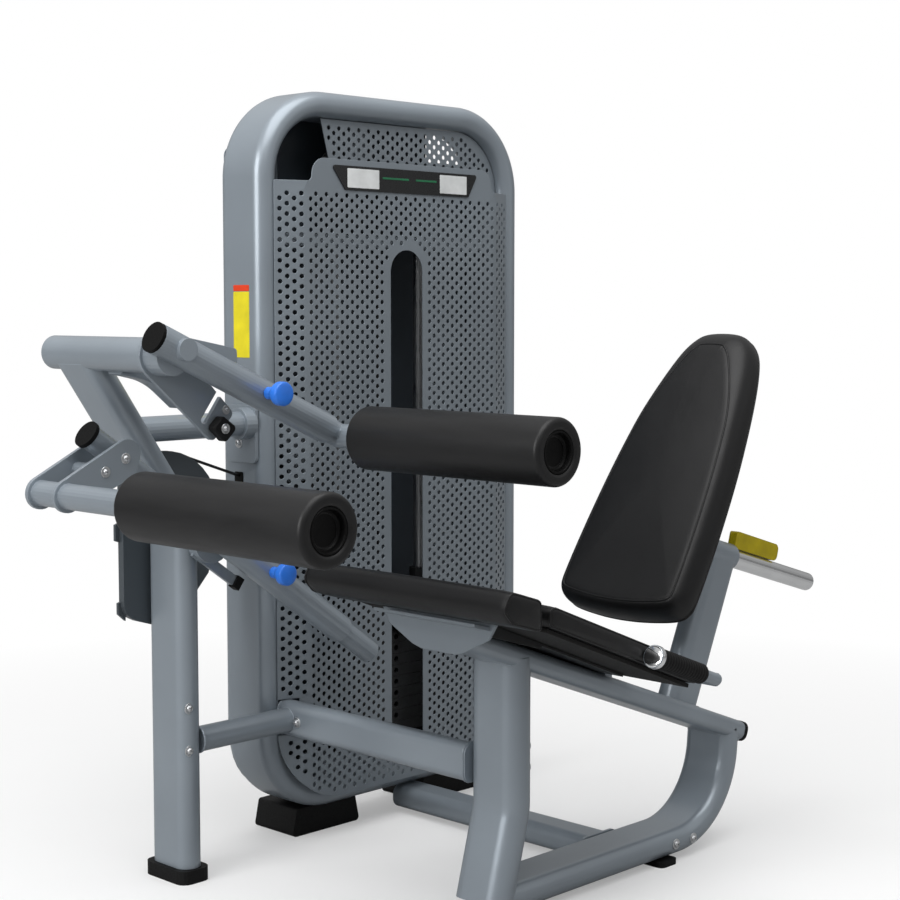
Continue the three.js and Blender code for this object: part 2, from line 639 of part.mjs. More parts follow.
function seat() {
  // Front bolster and main pad: side profiles drawn in x and z.
  const bolster = rounded([[19, 572, 9], [90, 551, 8], [88, 606, 10], [14, 629, 12], [-4, 598, 14]]);
  add("seat_front_pad", plate(bolster, "xz", -SEAT_W, SEAT_W), MAT.vinyl);
  const slope = -21.4;
  const front = [104, 598];
  const low = [104, 551.5];
  const rear = along(...front, slope, 442);
  const lowRear = along(...low, slope, 426);
  add("seat_rear_pad", plate(rounded([[...front, 12], [...low, 10], [...lowRear, 12], [...rear, 14]]), "xz", -SEAT_W, SEAT_W), MAT.vinyl);

  // The pan is a folded plate that carries both pads on the rail.
  const below = (p, d) => along(...p, slope - 90, d);
  const [a, b] = [along(...low, slope, 4), along(...low, slope, 390)];
  const sheet = plate([below(a, GAP), below(a, 5), below(b, 5), below(b, GAP)], "xz", -101, 101);
  const side = [below(a, 2), [98, 530], [236, 488], [246, 491], below(along(...low, slope, 158), 2)];
  const flanges = [-1, 1].map((s) => plate(side, "xz", Math.min(s * 97, s * 101), Math.max(s * 97, s * 101)));
  const apron = plate(
    [[-134, 551], [-117, 524], [-62, 496], [-40, 490], [40, 490], [62, 496], [117, 524], [134, 551]],
    "yz", 92, 97,
  );
  const shelf = plate([[56, 556.5], [97, 545], [97, 539], [56, 550.5]], "xz", -120, 120);
  const bridge = box(95, 108, -101, 101, 541, 545);
  const riser = box(112, 140, -50, 50, railZ(112) + 22, 541);
  add("seat_pan", cut(join(sheet, ...flanges, apron, shelf, bridge), railEnvelope()), MAT.plate);
}

function handles() {
  const y = 265;
  const slope = -20.4;
  const at = (d, s) => {
    const [x, z] = along(346, 481, slope, d);
    return [x, s * y, z];
  };
  const crossD = 190;
  for (const [side, s] of [["near", -1], ["far", 1]]) {
    const sleeve = cut(rod(at(6, s), at(140, s), 18, 24), rod(at(5, s), at(150, s), 11.5, 20));
    add("grip_" + side, sleeve, MAT.rubber);
  }
  const bars = [-1, 1].flatMap((s) => [rod(at(0, s), at(crossD, s), 11, 20), rod(at(-5, s), at(6 - GAP, s), 20, 24)]);
  const cross = rod(at(crossD, -1), at(crossD, 1), 12, 20);
  const [x, , z] = at(crossD, 1);
  const tab = box(x - 10, x + 10, -20, 20, railZ(x) + 15, z);
  add("handlebar", cut(join(cross, ...bars, tab), railEnvelope()), MAT.frame);
}

// ---------------------------------------------------------------- back rest
const slideAt = (d) => along(SLIDE.x0, SLIDE.z0, SLIDE.slope, d);
const SLIDE_LENGTH = (SLIDE.x1 - SLIDE.x0) / Math.cos(rad(SLIDE.slope));

function backRest() {
  const footX = 758;
  const foot = [footX, railZ(footX)];
  const head = slideAt(62);
  const upright = tube("xz", 0, [foot, head], 92, 50, { radius: 22 });
  const cylinder = (from, to, r) => {
    const [a, b] = [slideAt(from), slideAt(to)];
    return rod([a[0], 0, a[1]], [b[0], 0, b[1]], r, 28);
  };
  const sleeve = cylinder(16, 104, SLIDE.r + 8);
  const through = cylinder(-62, 600, SLIDE.r + GAP);
  add("back_upright", cut(join(upright, sleeve), through, railEnvelope()), MAT.frame);

  // The sliding tube ends in a plate on the pad's back.
  const axis = { up: 90 - BACK.recline, out: -BACK.recline };
  const onBack = (t, d) => along(...along(BACK.x, BACK.z, axis.up, t), axis.out, BACK.thick + d);
  const mountPlate = plate([onBack(110, GAP), onBack(110, 8), onBack(270, 8), onBack(270, GAP)], "xz", -60, 60);
  add("back_slide", join(cylinder(-54, SLIDE_LENGTH, SLIDE.r), mountPlate), MAT.chrome);

  backPad();
  const ends = [slideAt(106), slideAt(262)];
  const edge = (d) => ends.map((pt) => along(...pt, 90 + SLIDE.slope, d));
  const [bottom, topEdge] = [edge(SLIDE.r + 1), edge(SLIDE.r + 36)];
  const blade = rounded([[...bottom[0], 6], [...bottom[1], 12], [...topEdge[1], 12], [...topEdge[0], 6]]);
  add("back_release_lever", plate(blade, "xz", -9, 9), MAT.yellow);
}

// The back pad narrows upwards to a round top; its thickness runs from the rear face towards the user.
function backPad() {
  const { x, z, recline, length, wide, thick } = BACK;
  const half = (s) => [
    [s * 60, -14],
    [s * (wide - 28), -4],
    [s * (wide - 6), 12],
    [s * wide, 44],
    [s * (wide - 4), length * 0.28],
    [s * (wide - 16), length * 0.52],
    [s * (wide - 38), length * 0.76],
    [s * (wide - 62), length * 0.91],
    [s * (wide - 90), length - 14],
    [s * 30, length],
  ];
  const shape = new THREE.Shape([...half(1), ...half(-1).reverse()].map((p) => new THREE.Vector2(...p)));
  const g = new THREE.ExtrudeGeometry(shape, {
    depth: thick - 24,
    bevelThickness: 12,
    bevelSize: 12,
    bevelOffset: -12,
    bevelSegments: 2,
  });
  g.translate(0, 0, 12);
  // Pad frame: width on Y, height up the recline, thickness towards the user.
  const across = new THREE.Vector3(0, -1, 0);
  const up = new THREE.Vector3(Math.sin(rad(recline)), 0, Math.cos(rad(recline)));
  const out = new THREE.Vector3().crossVectors(across, up);
  g.applyMatrix4(new THREE.Matrix4().makeBasis(across, up, out));
  g.translate(x, 0, z);
  add("back_pad", g, MAT.vinyl);
}

// ---------------------------------------------------------------- curl lever
const leverAt = (d) => {
  const base = along(PIVOT.x, PIVOT.z, LEVER.angle + 90, LEVER.lift);
  return along(...base, LEVER.angle, d);
};

function pipe(at, from, to, y, outer, inner) {
  const [a, b] = [at(from), at(to)];
  const [c, d] = [at(from - 1), at(to + 1)];
  const body = rod([a[0], y, a[1]], [b[0], y, b[1]], outer, 28);
  return inner ? cut(body, rod([c[0], y, c[1]], [d[0], y, d[1]], inner, 28)) : body;
}

function curlLever() {
  const { y, angle, sleeveR, tubeR, capEnd, sleeveStart, sleeveEnd, tail } = LEVER;
  const inner = 514; // the lever's face towards the upright
  const hub = rod([PIVOT.x, y + 20, PIVOT.z], [PIVOT.x, inner, PIVOT.z], 42, 28);
  // A flat stop bar runs below the tube and ends in a rubber block.
  const strip = (from, to, half) => {
    const base = along(PIVOT.x, PIVOT.z, angle - 90, 33);
    const [a, b] = [along(...base, angle, from), along(...base, angle, to)];
    return [
      along(...a, angle + 90, half),
      along(...a, angle - 90, half),
      along(...b, angle - 90, half),
      along(...b, angle + 90, half),
    ];
  };
  const stopBar = plate(strip(-16, 96, 10), "xz", y + sleeveR + 6, inner - 3);
  const guide = join(pipe(leverAt, sleeveStart, sleeveEnd, y, sleeveR, 0), hub, stopBar);
  const [a, b] = [leverAt(sleeveStart - 5), leverAt(sleeveEnd + 5)];
  add("lever_sleeve", cut(guide, rod([a[0], y, a[1]], [b[0], y, b[1]], tubeR + GAP, 24)), MAT.frame);
  add("lever_shaft", rod([PIVOT.x, inner + GAP, PIVOT.z], [PIVOT.x, CAM.y1 + 10, PIVOT.z], PIVOT.shaftR, 28), MAT.chrome);
  add("lever_bumper", plate(strip(96 + GAP, 112, 12), "xz", y + sleeveR + 1, inner), MAT.rubber);
  cam();
  ankleCarriage(capEnd, tail, tubeR, y);
  knob("lever_knob", leverAt(122), y - sleeveR);
}

// Cable cam: a round rim above the pivot and a long straight-sided tail below it.
function cam() {
  const { x, z } = PIVOT;
  const left = x - CAM.flat;
  const to = 180 - THREE.MathUtils.radToDeg(Math.acos((CAM.x - left) / CAM.r));
  const from = -12;
  const steps = 16;
  const rim = Array.from({ length: steps + 1 }, (_, i) => along(CAM.x, CAM.z, from + ((to - from) * i) / steps, CAM.r));
  const tail = [
    [left, z - 128],
    [left + 6, z - 142],
    [left + 16, z - 151],
    [left + 30, z - 158],
    [x - 42, z - 168],
    [x - 10, z - 172],
    [x + 44, z - 140],
    [x + 74, z - 106],
    [x + 94, z - 84],
  ];
  const disc = plate([...rim, ...tail], "xz", CAM.y0, CAM.y1);
  // Two ears on the straight edge keep the cable in place.
  const ears = [
    [[left + 12, z + 34], [left - 10, z + 26], [left - 10, z - 4], [left + 12, z - 12]],
    [[left + 12, z - 116], [left - 6, z - 121], [left - 6, z - 142], [left + 10, z - 156]],
  ].map((outline) => plate(outline, "xz", CAM.y1 - 6, CAM.y1));
  const mid = (CAM.y0 + CAM.y1) / 2;
  const sector = [[CAM.x, CAM.z], ...[-75, -45, -15, 15, 45, 75, 112].map((t) => along(CAM.x, CAM.z, t, CAM.r + 40))];
  const core = rod([CAM.x, mid - 20, CAM.z], [CAM.x, mid + 20, CAM.z], CAM.cableR - CABLE_R - 4, 48);
  const groove = cut(plate(sector, "xz", mid - 4, mid + 4), core);
  const hole = rod([x, 600, z], [x, 700, z], PIVOT.shaftR + GAP, 28);
  add("cam", cut(join(disc, ...ears), groove, hole), MAT.cam);
}

function ankleCarriage(capEnd, tail, tubeR, y) {
  const slideTube = pipe(leverAt, capEnd, tail, y, tubeR, 0);
  const boltA = leverAt(-294);
  const boltB = [-281, 792];
  const near = y - 43;
  const far = y + 37;
  const outline = around([
    [ANKLE.x, ANKLE.z, 28],
    [...boltA, 27],
    [...boltB, 22],
    [boltA[0] - 2, boltA[1] - 18, 24],
  ]);
  const plates = [near, far].map((at) => plate(outline, "xz", at - PLATE_T / 2, at + PLATE_T / 2));
  const spacers = [boltA, boltB].map(([u, v]) => rod([u, near, v], [u, far, v], 13, 16));
  const axle = rod([ANKLE.x, ANKLE.y0 + 30, ANKLE.z], [ANKLE.x, far + 4, ANKLE.z], ANKLE.axleR, 24);
  add("ankle_carriage", join(slideTube, ...plates, ...spacers, axle), MAT.frame);
  const [a, b] = [leverAt(capEnd - GAP), leverAt(capEnd - 8)];
  add("lever_cap", rod([a[0], y, a[1]], [b[0], y, b[1]], tubeR + 3, 24), MAT.plastic);
  roller("ankle_roller", ANKLE.x, ANKLE.z, ANKLE.y0, ANKLE.y1, ANKLE.foamR, ANKLE.axleR);
}

// Foam roller on a fixed axle: a blind bore, and a cup recessed in the end the user sees.
function roller(name, x, z, y0, y1, r, axleR) {
  const bore = axleR + GAP;
  const cup = r * 0.68;
  const profile = [
    [0, y0 + 22],
    [cup - 4, y0 + 22],
    [cup, y0 + 3],
    [r - 8, y0],
    [r, y0 + 9],
    [r, y1 - 9],
    [r - 8, y1],
    [bore, y1],
    [bore, y0 + 29],
    [0, y0 + 29],
  ];
  add(name, turned(profile, "y", [x, 0, z], 32), MAT.vinyl);
}

// Pull knob: stem and flared head, pointing to -Y from the sleeve's near side.
function knob(name, [x, z], y) {
  const profile = [[0, 0], [9, 0], [9, 20], [13, 26], [20, 34], [21, 40], [17, 45], [0, 46]];
  add(name, turned(profile.map(([r, d]) => [r, -d]), "y", [x, y - GAP, z], 24), MAT.knob);
}

// ---------------------------------------------------------------- thigh arm
const armAt = (d) => along(UPPER.x, UPPER.z + ARM.lift, ARM.angle, d);

function thighArm() {
  const { y, sleeveR, tubeR, capEnd, sleeveEnd } = ARM;
  const back = y + sleeveR;
  const hub = rod([UPPER.x, y, UPPER.z], [UPPER.x, back + 20, UPPER.z], 34, 28);
  const pivotPad = [UPPER.x, UPPER.z, 40];
  const limbs = [
    around([pivotPad, [-70, 992, 8], [-70, 968, 8]]),
    around([pivotPad, [-84, 886, 10], [-118, 852, 10]]),
  ];
  // A notch in the lower limb leaves a tab for the rubber block.
  const notch = plate(around([[-136, 877, 6], [-98, 928, 6]]), "xz", back + 11, back + 21);
  const boss = armAt(8);
  const body = join(
    pipe(armAt, capEnd, sleeveEnd, y, sleeveR, 0),
    hub,
    ...limbs.map((limb) => plate(limb, "xz", back + 12, back + 20)),
    rod([boss[0], y - sleeveR - 6, boss[1]], [boss[0], y, boss[1]], 19, 20),
  );
  const [a, b] = [armAt(40), armAt(sleeveEnd + 5)];
  const bore = rod([a[0], y, a[1]], [b[0], y, b[1]], tubeR + GAP, 24);
  add("thigh_arm", cut(body, bore, notch), MAT.frame);
  const [c, d] = [armAt(capEnd - GAP), armAt(capEnd - 7)];
  add("thigh_arm_cap", rod([c[0], y, c[1]], [d[0], y, d[1]], sleeveR, 24), MAT.plastic);
  add("thigh_arm_shaft", rod([UPPER.x, back + 20 + GAP, UPPER.z], [UPPER.x, UPPER.y1 + 4, UPPER.z], PIVOT.shaftR, 28), MAT.chrome);
  const stopper = rounded([[-131, 864, 6], [-109, 885, 6], [-77, 862, 6], [-103, 837, 6]]);
  add("thigh_arm_bumper", plate(stopper, "xz", back - 8, back + 12 - GAP), MAT.rubber);

  const end = armAt(THIGH.reach);
  const slider = join(
    pipe(armAt, 130, THIGH.reach, y, tubeR, 0),
    rod([end[0], THIGH.y0 + 30, end[1]], [end[0], y, end[1]], tubeR, 24),
    new THREE.SphereGeometry(tubeR, 20, 12).translate(end[0], y, end[1]),
  );
  add("thigh_carriage", slider, MAT.frame);
  roller("thigh_roller", end[0], end[1], THIGH.y0, THIGH.y1, THIGH.foamR, tubeR);
  knob("thigh_knob", armAt(198), y - sleeveR);
}

// ---------------------------------------------------------------- assembly
tower();
guideRods();
cables(stack());
leftUpright();
ties();
seatFrame();
seat();
handles();
backRest();
curlLever();
thighArm();
part.position.set(-MIDDLE.x, -MIDDLE.y, 0);

export default part;
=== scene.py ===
"""Looks of a seated leg machine with a guarded weight stack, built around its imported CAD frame."""

import json
import math

import bmesh
import bpy
import numpy as np
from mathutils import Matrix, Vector
from mathutils.geometry import delaunay_2d_cdt


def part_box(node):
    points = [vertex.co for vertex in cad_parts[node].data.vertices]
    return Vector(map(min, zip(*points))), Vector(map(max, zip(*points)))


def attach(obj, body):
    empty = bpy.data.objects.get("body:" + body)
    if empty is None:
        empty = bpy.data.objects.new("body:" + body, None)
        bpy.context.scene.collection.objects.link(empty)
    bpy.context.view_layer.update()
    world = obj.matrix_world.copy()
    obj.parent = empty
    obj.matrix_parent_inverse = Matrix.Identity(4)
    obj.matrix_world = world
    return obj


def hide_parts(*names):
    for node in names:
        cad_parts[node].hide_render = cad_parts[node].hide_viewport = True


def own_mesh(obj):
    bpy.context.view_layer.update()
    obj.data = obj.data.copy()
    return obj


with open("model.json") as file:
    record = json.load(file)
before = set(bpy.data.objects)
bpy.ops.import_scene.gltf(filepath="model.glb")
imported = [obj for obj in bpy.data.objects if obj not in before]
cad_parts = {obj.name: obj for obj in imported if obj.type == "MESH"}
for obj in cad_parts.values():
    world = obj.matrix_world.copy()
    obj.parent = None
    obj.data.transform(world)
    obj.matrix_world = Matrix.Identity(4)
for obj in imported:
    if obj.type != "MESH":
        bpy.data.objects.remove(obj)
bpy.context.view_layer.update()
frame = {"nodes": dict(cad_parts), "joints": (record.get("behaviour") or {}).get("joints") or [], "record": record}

MM = 0.001
WELD_R, WELT_R = 2.6, 1.9
WELD_STEP, WELT_STEP = 0.0022, 0.004
JOINTS = {j["name"]: j for j in frame["joints"]}
KNEE = Vector(JOINTS["lever_swing"]["pos_m"])
SEAT_LO, SEAT_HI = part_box("seat_rear_pad")
# Millimetre positions below are measured from the floor under the knee pivot, on the seat's middle plane.
ORIGIN = Vector((KNEE.x, (SEAT_LO.y + SEAT_HI.y) / 2, 0.0))
X, Y, Z = Vector((1, 0, 0)), Vector((0, 1, 0)), Vector((0, 0, 1))


def at(x, y, z):
    return ORIGIN + Vector((x, y, z)) * MM


def local_box(node):
    """A CAD node's corners in millimetres from ORIGIN."""
    lo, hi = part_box(node)
    return (lo - ORIGIN) / MM, (hi - ORIGIN) / MM


def polar(x, z, degrees, distance):
    a = math.radians(degrees)
    return (x + distance * math.cos(a), z + distance * math.sin(a))


def heading(degrees):
    """The unit direction in the xz plane that rises by some degrees from +X."""
    return Vector((math.cos(math.radians(degrees)), 0, math.sin(math.radians(degrees))))


# ---------------------------------------------------------------- materials
def srgb(r, g, b):
    return tuple((c / 12.92) if c <= 0.04045 else ((c + 0.055) / 1.055) ** 2.4 for c in (r, g, b))


MATERIALS = {}


class Nodes:
    """Short calls for building a material's node tree; the material joins MATERIALS under its name."""

    def __init__(self, name):
        self.material = MATERIALS[name] = bpy.data.materials.new(name)
        self.material.use_nodes = True
        self.tree = self.material.node_tree
        self.shader = self.tree.nodes["Principled BSDF"]
        self.point = self.new("ShaderNodeTexCoord").outputs["Object"]

    def new(self, kind, **values):
        node = self.tree.nodes.new(kind)
        for key, value in values.items():
            if hasattr(node, key):
                setattr(node, key, value)
            else:
                node.inputs[key.replace("_", " ")].default_value = value
        return node

    def link(self, a, b):
        self.tree.links.new(a, b)

    def noise(self, scale, detail=3.0, stretch=None):
        node = self.new("ShaderNodeTexNoise", Scale=scale, Detail=detail)
        source = self.point
        if stretch:
            mapping = self.new("ShaderNodeMapping", Scale=stretch)
            self.link(source, mapping.inputs["Vector"])
            source = mapping.outputs["Vector"]
        self.link(source, node.inputs["Vector"])
        return node.outputs["Fac"]

    def grain(self, scale):
        node = self.new("ShaderNodeTexVoronoi", feature="DISTANCE_TO_EDGE", Scale=scale)
        self.link(self.point, node.inputs["Vector"])
        return node.outputs["Distance"]

    def remap(self, value, low, high, to_low, to_high):
        node = self.new("ShaderNodeMapRange")
        self.link(value, node.inputs["Value"])
        for key, v in zip(("From Min", "From Max", "To Min", "To Max"), (low, high, to_low, to_high)):
            node.inputs[key].default_value = v
        return node.outputs["Result"]

    def shade(self, colour, factor):
        """The colour multiplied by a grey factor."""
        node = self.new("ShaderNodeMix", data_type="RGBA", blend_type="MULTIPLY")
        node.inputs["Factor"].default_value = 1.0
        node.inputs["A"].default_value = (*colour, 1)
        self.link(factor, node.inputs["B"])
        return node.outputs["Result"]

    def mix(self, factor, a, b):
        node = self.new("ShaderNodeMix", data_type="RGBA")
        self.link(factor, node.inputs["Factor"])
        for key, value in (("A", a), ("B", b)):
            if isinstance(value, tuple):
                node.inputs[key].default_value = (*value, 1)
            else:
                self.link(value, node.inputs[key])
        return node.outputs["Result"]

    def bump(self, height, strength, distance, normal=None):
        node = self.new("ShaderNodeBump", Strength=strength, Distance=distance)
        self.link(height, node.inputs["Height"])
        if normal:
            self.link(normal, node.inputs["Normal"])
        return node.outputs["Normal"]

    def rounded_edges(self, radius):
        return self.new("ShaderNodeBevel", samples=4, Radius=radius).outputs["Normal"]

    def edge_highlight_mask(self, radius):
        """Near 1 on a sharp outer edge, 0 on open faces: where the painted edge highlight goes."""
        bevel = self.rounded_edges(radius)
        geometry = self.new("ShaderNodeNewGeometry")
        dot = self.new("ShaderNodeVectorMath", operation="DOT_PRODUCT")
        self.link(bevel, dot.inputs[0])
        self.link(geometry.outputs["Normal"], dot.inputs[1])
        return self.remap(dot.outputs["Value"], 0.97, 0.8, 0.0, 1.0)

    def finish(self, colour, roughness, normal, **values):
        for key, value in (("Base Color", colour), ("Roughness", roughness), ("Normal", normal)):
            if value is None:
                continue
            if isinstance(value, (int, float)):
                self.shader.inputs[key].default_value = value
            else:
                self.link(value, self.shader.inputs[key])
        for key, value in values.items():
            self.shader.inputs[key.replace("_", " ")].default_value = value
        return self.material


def painted(name, colour, roughness=0.34, metallic=0.35, highlight_lift=1.35):
    """Metallic powder coat: faint orange peel, cloudy tone, edges painted a touch lighter as a painted highlight.
    """
    n = Nodes(name)
    tone = n.shade(colour, n.remap(n.noise(5.0), 0.3, 0.7, 0.94, 1.05))
    # Sharp edges take a lighter copy of the colour: a painted highlight along the edges.
    highlit = n.mix(n.edge_highlight_mask(0.0018), tone, tuple(min(1.0, c * highlight_lift) for c in colour))
    flakes = n.remap(n.noise(2600.0, 1.0), 0.35, 0.65, roughness - 0.05, roughness + 0.07)
    peel = n.bump(n.noise(420.0, 2.0), 0.12, 0.0003, n.rounded_edges(0.0014))
    return n.finish(highlit, flakes, peel, Metallic=metallic, Coat_Weight=0.25, Coat_Roughness=0.12)


def polished(name, colour=(0.86, 0.87, 0.88), roughness=0.1):
    """Chrome plate with faint drawn streaks."""
    n = Nodes(name)
    tone = n.shade(colour, n.remap(n.noise(14.0), 0.3, 0.7, 0.93, 1.0))
    streaks = n.remap(n.noise(160.0, 2.0, (1.0, 1.0, 0.08)), 0.3, 0.7, roughness * 0.7, roughness * 1.6)
    return n.finish(tone, streaks, n.rounded_edges(0.0006), Metallic=1.0)


def moulded(name, colour, roughness=0.5, grain=900.0, depth=0.00015, shine=0.5):
    """Moulded rubber or plastic: fine pebble, rounded edges."""
    n = Nodes(name)
    tone = n.shade(colour, n.remap(n.noise(22.0), 0.3, 0.7, 0.85, 1.12))
    rough = n.remap(n.noise(300.0), 0.3, 0.7, roughness - 0.06, roughness + 0.08)
    pebble = n.bump(n.noise(grain, 2.0), 0.35, depth, n.rounded_edges(0.0012))
    return n.finish(tone, rough, pebble, Specular_IOR_Level=shine)


def upholstery(name, colour):
    """Vinyl with a leather grain, lighter on the grain's ridges than in its creases."""
    n = Nodes(name)
    cells = n.grain(420.0)
    tone = n.shade(colour, n.remap(cells, 0.0, 0.35, 0.7, 1.1))
    rough = n.remap(n.noise(9.0), 0.3, 0.7, 0.36, 0.47)
    creases = n.bump(cells, 0.38, 0.00045)
    soft = n.bump(n.noise(28.0, 3.0), 0.18, 0.002, creases)
    return n.finish(tone, rough, soft, Specular_IOR_Level=0.32)


def foam_skin(name, colour):
    """Closed-cell foam with a smooth skin and faint lengthwise drag marks."""
    n = Nodes(name)
    tone = n.shade(colour, n.remap(n.noise(60.0, 3.0, (1.0, 0.12, 1.0)), 0.3, 0.7, 0.85, 1.15))
    rough = n.remap(n.noise(45.0, 4.0, (1.0, 0.2, 1.0)), 0.3, 0.7, 0.36, 0.48)
    return n.finish(tone, rough, n.bump(n.noise(1500.0, 2.0), 0.3, 0.00025), Specular_IOR_Level=0.3)


def cast(name, colour):
    """Cast plate under matt black paint."""
    n = Nodes(name)
    tone = n.shade(colour, n.remap(n.noise(30.0), 0.3, 0.7, 0.75, 1.2))
    rough = n.remap(n.noise(180.0), 0.3, 0.7, 0.42, 0.6)
    skin = n.bump(n.noise(380.0, 4.0), 0.4, 0.0005, n.rounded_edges(0.001))
    return n.finish(tone, rough, skin, Metallic=0.2)


FRAME_GREY = srgb(0.55, 0.585, 0.617)
SHEET_GREY = srgb(0.50, 0.533, 0.562)
painted("frame_paint", FRAME_GREY)
painted("shroud_paint", SHEET_GREY, 0.42)
painted("bracket_paint", SHEET_GREY, 0.38)
painted("dark_paint", srgb(0.29, 0.315, 0.335), 0.4, 0.3, 1.4)
cast("stack_iron", srgb(0.13, 0.135, 0.14))
polished("chrome")
moulded("rubber", srgb(0.03, 0.03, 0.032), 0.62, shine=0.25)
foam_skin("foam", srgb(0.095, 0.095, 0.098))
upholstery("vinyl", srgb(0.075, 0.075, 0.08))
moulded("black_plastic", srgb(0.014, 0.014, 0.015), 0.5, shine=0.15)
moulded("blue_plastic", srgb(0.17, 0.46, 0.87), 0.36, 700.0, 0.0001)
moulded("yellow_paint", srgb(0.70, 0.63, 0.0), 0.45, 400.0, 0.0001, 0.3)
moulded("sign_black", srgb(0.07, 0.075, 0.08), 0.3, 500.0, 0.00005)
moulded("nylon", srgb(0.17, 0.18, 0.19), 0.45)
moulded("cable_coat", srgb(0.05, 0.05, 0.052), 0.4)
moulded("label_yellow", srgb(0.88, 0.82, 0.12), 0.4, 600.0, 0.00004)
moulded("label_red", srgb(0.86, 0.24, 0.08), 0.4, 600.0, 0.00004)
moulded("card_white", srgb(0.86, 0.87, 0.87), 0.5, 600.0, 0.00004)
moulded("stripe_green", srgb(0.10, 0.42, 0.27), 0.5, 600.0, 0.00004)
polished("zinc", (0.62, 0.63, 0.64), 0.3)
polished("rod_steel", (0.42, 0.43, 0.44), 0.34)
moulded("plywood", srgb(0.09, 0.088, 0.085), 0.7, 300.0, 0.0003, 0.3)
painted("guard_back", srgb(0.24, 0.27, 0.30), 0.45, 0.2, 1.2)

SLOT_OF = {s["node"]: s["material_slot"] for s in frame["record"]["subparts"]}
APRON_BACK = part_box("seat_front_pad")[1].x + 0.008


def pan_with_painted_shade():
    """The seat pan: paint on the apron in front; behind it the sheet is painted near-black, a painted shade for
    the shadow under the pad.
    """
    n = Nodes("pan_painted_shade")
    split = n.new("ShaderNodeSeparateXYZ")
    n.link(n.point, split.inputs["Vector"])
    # Behind the apron the sheet turns near-black: painted shade where the pad shades the pan.
    shaded_behind = n.remap(split.outputs["X"], APRON_BACK, APRON_BACK + 0.001, 0.0, 1.0)
    tone = n.mix(shaded_behind, SHEET_GREY, srgb(0.09, 0.095, 0.10))
    rough = n.remap(n.noise(1800.0, 1.0), 0.35, 0.65, 0.34, 0.48)
    peel = n.bump(n.noise(420.0, 2.0), 0.12, 0.0003, n.rounded_edges(0.0014))
    return n.finish(tone, rough, peel, Metallic=0.3)


OWN_LOOK = {"seat_pan": pan_with_painted_shade()}
for node in ("guide_rod_front", "guide_rod_rear", "selector_stem"):
    OWN_LOOK[node] = MATERIALS["rod_steel"]


# ---------------------------------------------------------------- mesh helpers
def linked(name, data):
    """A new object in the scene."""
    obj = bpy.data.objects.new(name, data)
    bpy.context.scene.collection.objects.link(obj)
    return obj


def smooth(obj, degrees=32.0):
    obj.data.shade_smooth()
    obj.data.set_sharp_from_angle(angle=math.radians(degrees))
    weighted = obj.modifiers.new("weighted", "WEIGHTED_NORMAL")
    weighted.keep_sharp = True
    weighted.weight = 80


def piece(name, verts, faces, slot, body, replaces=(), angle=32.0):
    """A new mesh piece in the row frame (metres) that rides on a CAD body."""
    mesh = bpy.data.meshes.new(name)
    mesh.from_pydata([tuple(v) for v in verts], [], faces)
    made = bmesh.new()
    made.from_mesh(mesh)
    bmesh.ops.remove_doubles(made, verts=made.verts, dist=1e-6)
    bmesh.ops.recalc_face_normals(made, faces=made.faces)
    made.to_mesh(mesh)
    made.free()
    return dress(linked(name, mesh), slot, body, replaces, angle)


def dress(obj, slot, body, replaces=(), angle=32.0):
    obj.data.materials.clear()
    obj.data.materials.append(MATERIALS[slot])
    if angle:
        smooth(obj, angle)
    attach(obj, body)
    if replaces:
        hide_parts(*replaces)
    return obj


class Shape:
    """Vertices and faces gathered from several closed shells into one piece."""

    def __init__(self):
        self.verts = []
        self.faces = []

    def add(self, verts, faces):
        base = len(self.verts)
        self.verts += [Vector(v) for v in verts]
        self.faces += [tuple(base + i for i in f) for f in faces]
        return self

    def piece(self, name, slot, body, replaces=(), angle=32.0):
        return piece(name, self.verts, self.faces, slot, body, replaces, angle)


def basis(axis):
    """Two unit vectors across an axis."""
    axis = Vector(axis).normalized()
    side = Y if abs(axis.y) < 0.9 else X
    u = axis.cross(side).normalized()
    return axis, u, axis.cross(u)


def lathe(profile, place, axis, segments=48):
    """A turned shell: profile [(radius, distance along the axis)] in millimetres, ends on the axis."""
    axis, u, v = basis(axis)
    verts, faces, rows = [], [], []
    for r, d in profile:
        centre = Vector(place) + axis * d * MM
        if r < 1e-6:
            rows.append([len(verts)] * segments)
            verts.append(centre)
        else:
            rows.append(list(range(len(verts), len(verts) + segments)))
            for i in range(segments):
                a = 2 * math.pi * i / segments
                verts.append(centre + (u * math.cos(a) + v * math.sin(a)) * r * MM)
    for low, high in zip(rows, rows[1:]):
        for i in range(segments):
            j = (i + 1) % segments
            quad = [low[i], low[j], high[j], high[i]]
            face = [q for k, q in enumerate(quad) if q != quad[k - 1]]
            if len(face) > 2:
                faces.append(tuple(face))
    return verts, faces


def oval(thin, wide, radius=None, steps=9):
    """Outline of a flat-oval tube, thin along the first axis."""
    r = thin / 2 if radius is None else radius
    points = []
    corners = ((1, 1, 0), (-1, 1, 90), (-1, -1, 180), (1, -1, 270))
    for sa, sb, start in corners:
        for i in range(steps + 1):
            t = math.radians(start + 90 * i / steps)
            p = (sa * (thin / 2 - r) + r * math.cos(t), sb * (wide / 2 - r) + r * math.sin(t))
            if not points or math.dist(p, points[-1]) > 1e-4:
                points.append(p)
    if math.dist(points[0], points[-1]) < 1e-4:
        points.pop()
    return points


def ring_faces(rings, count, closed=False):
    """Quads between successive rings of count vertices each."""
    faces = []
    for i in range(rings if closed else rings - 1):
        j = (i + 1) % rings
        for k in range(count):
            m = (k + 1) % count
            faces.append((i * count + k, i * count + m, j * count + m, j * count + k))
    return faces


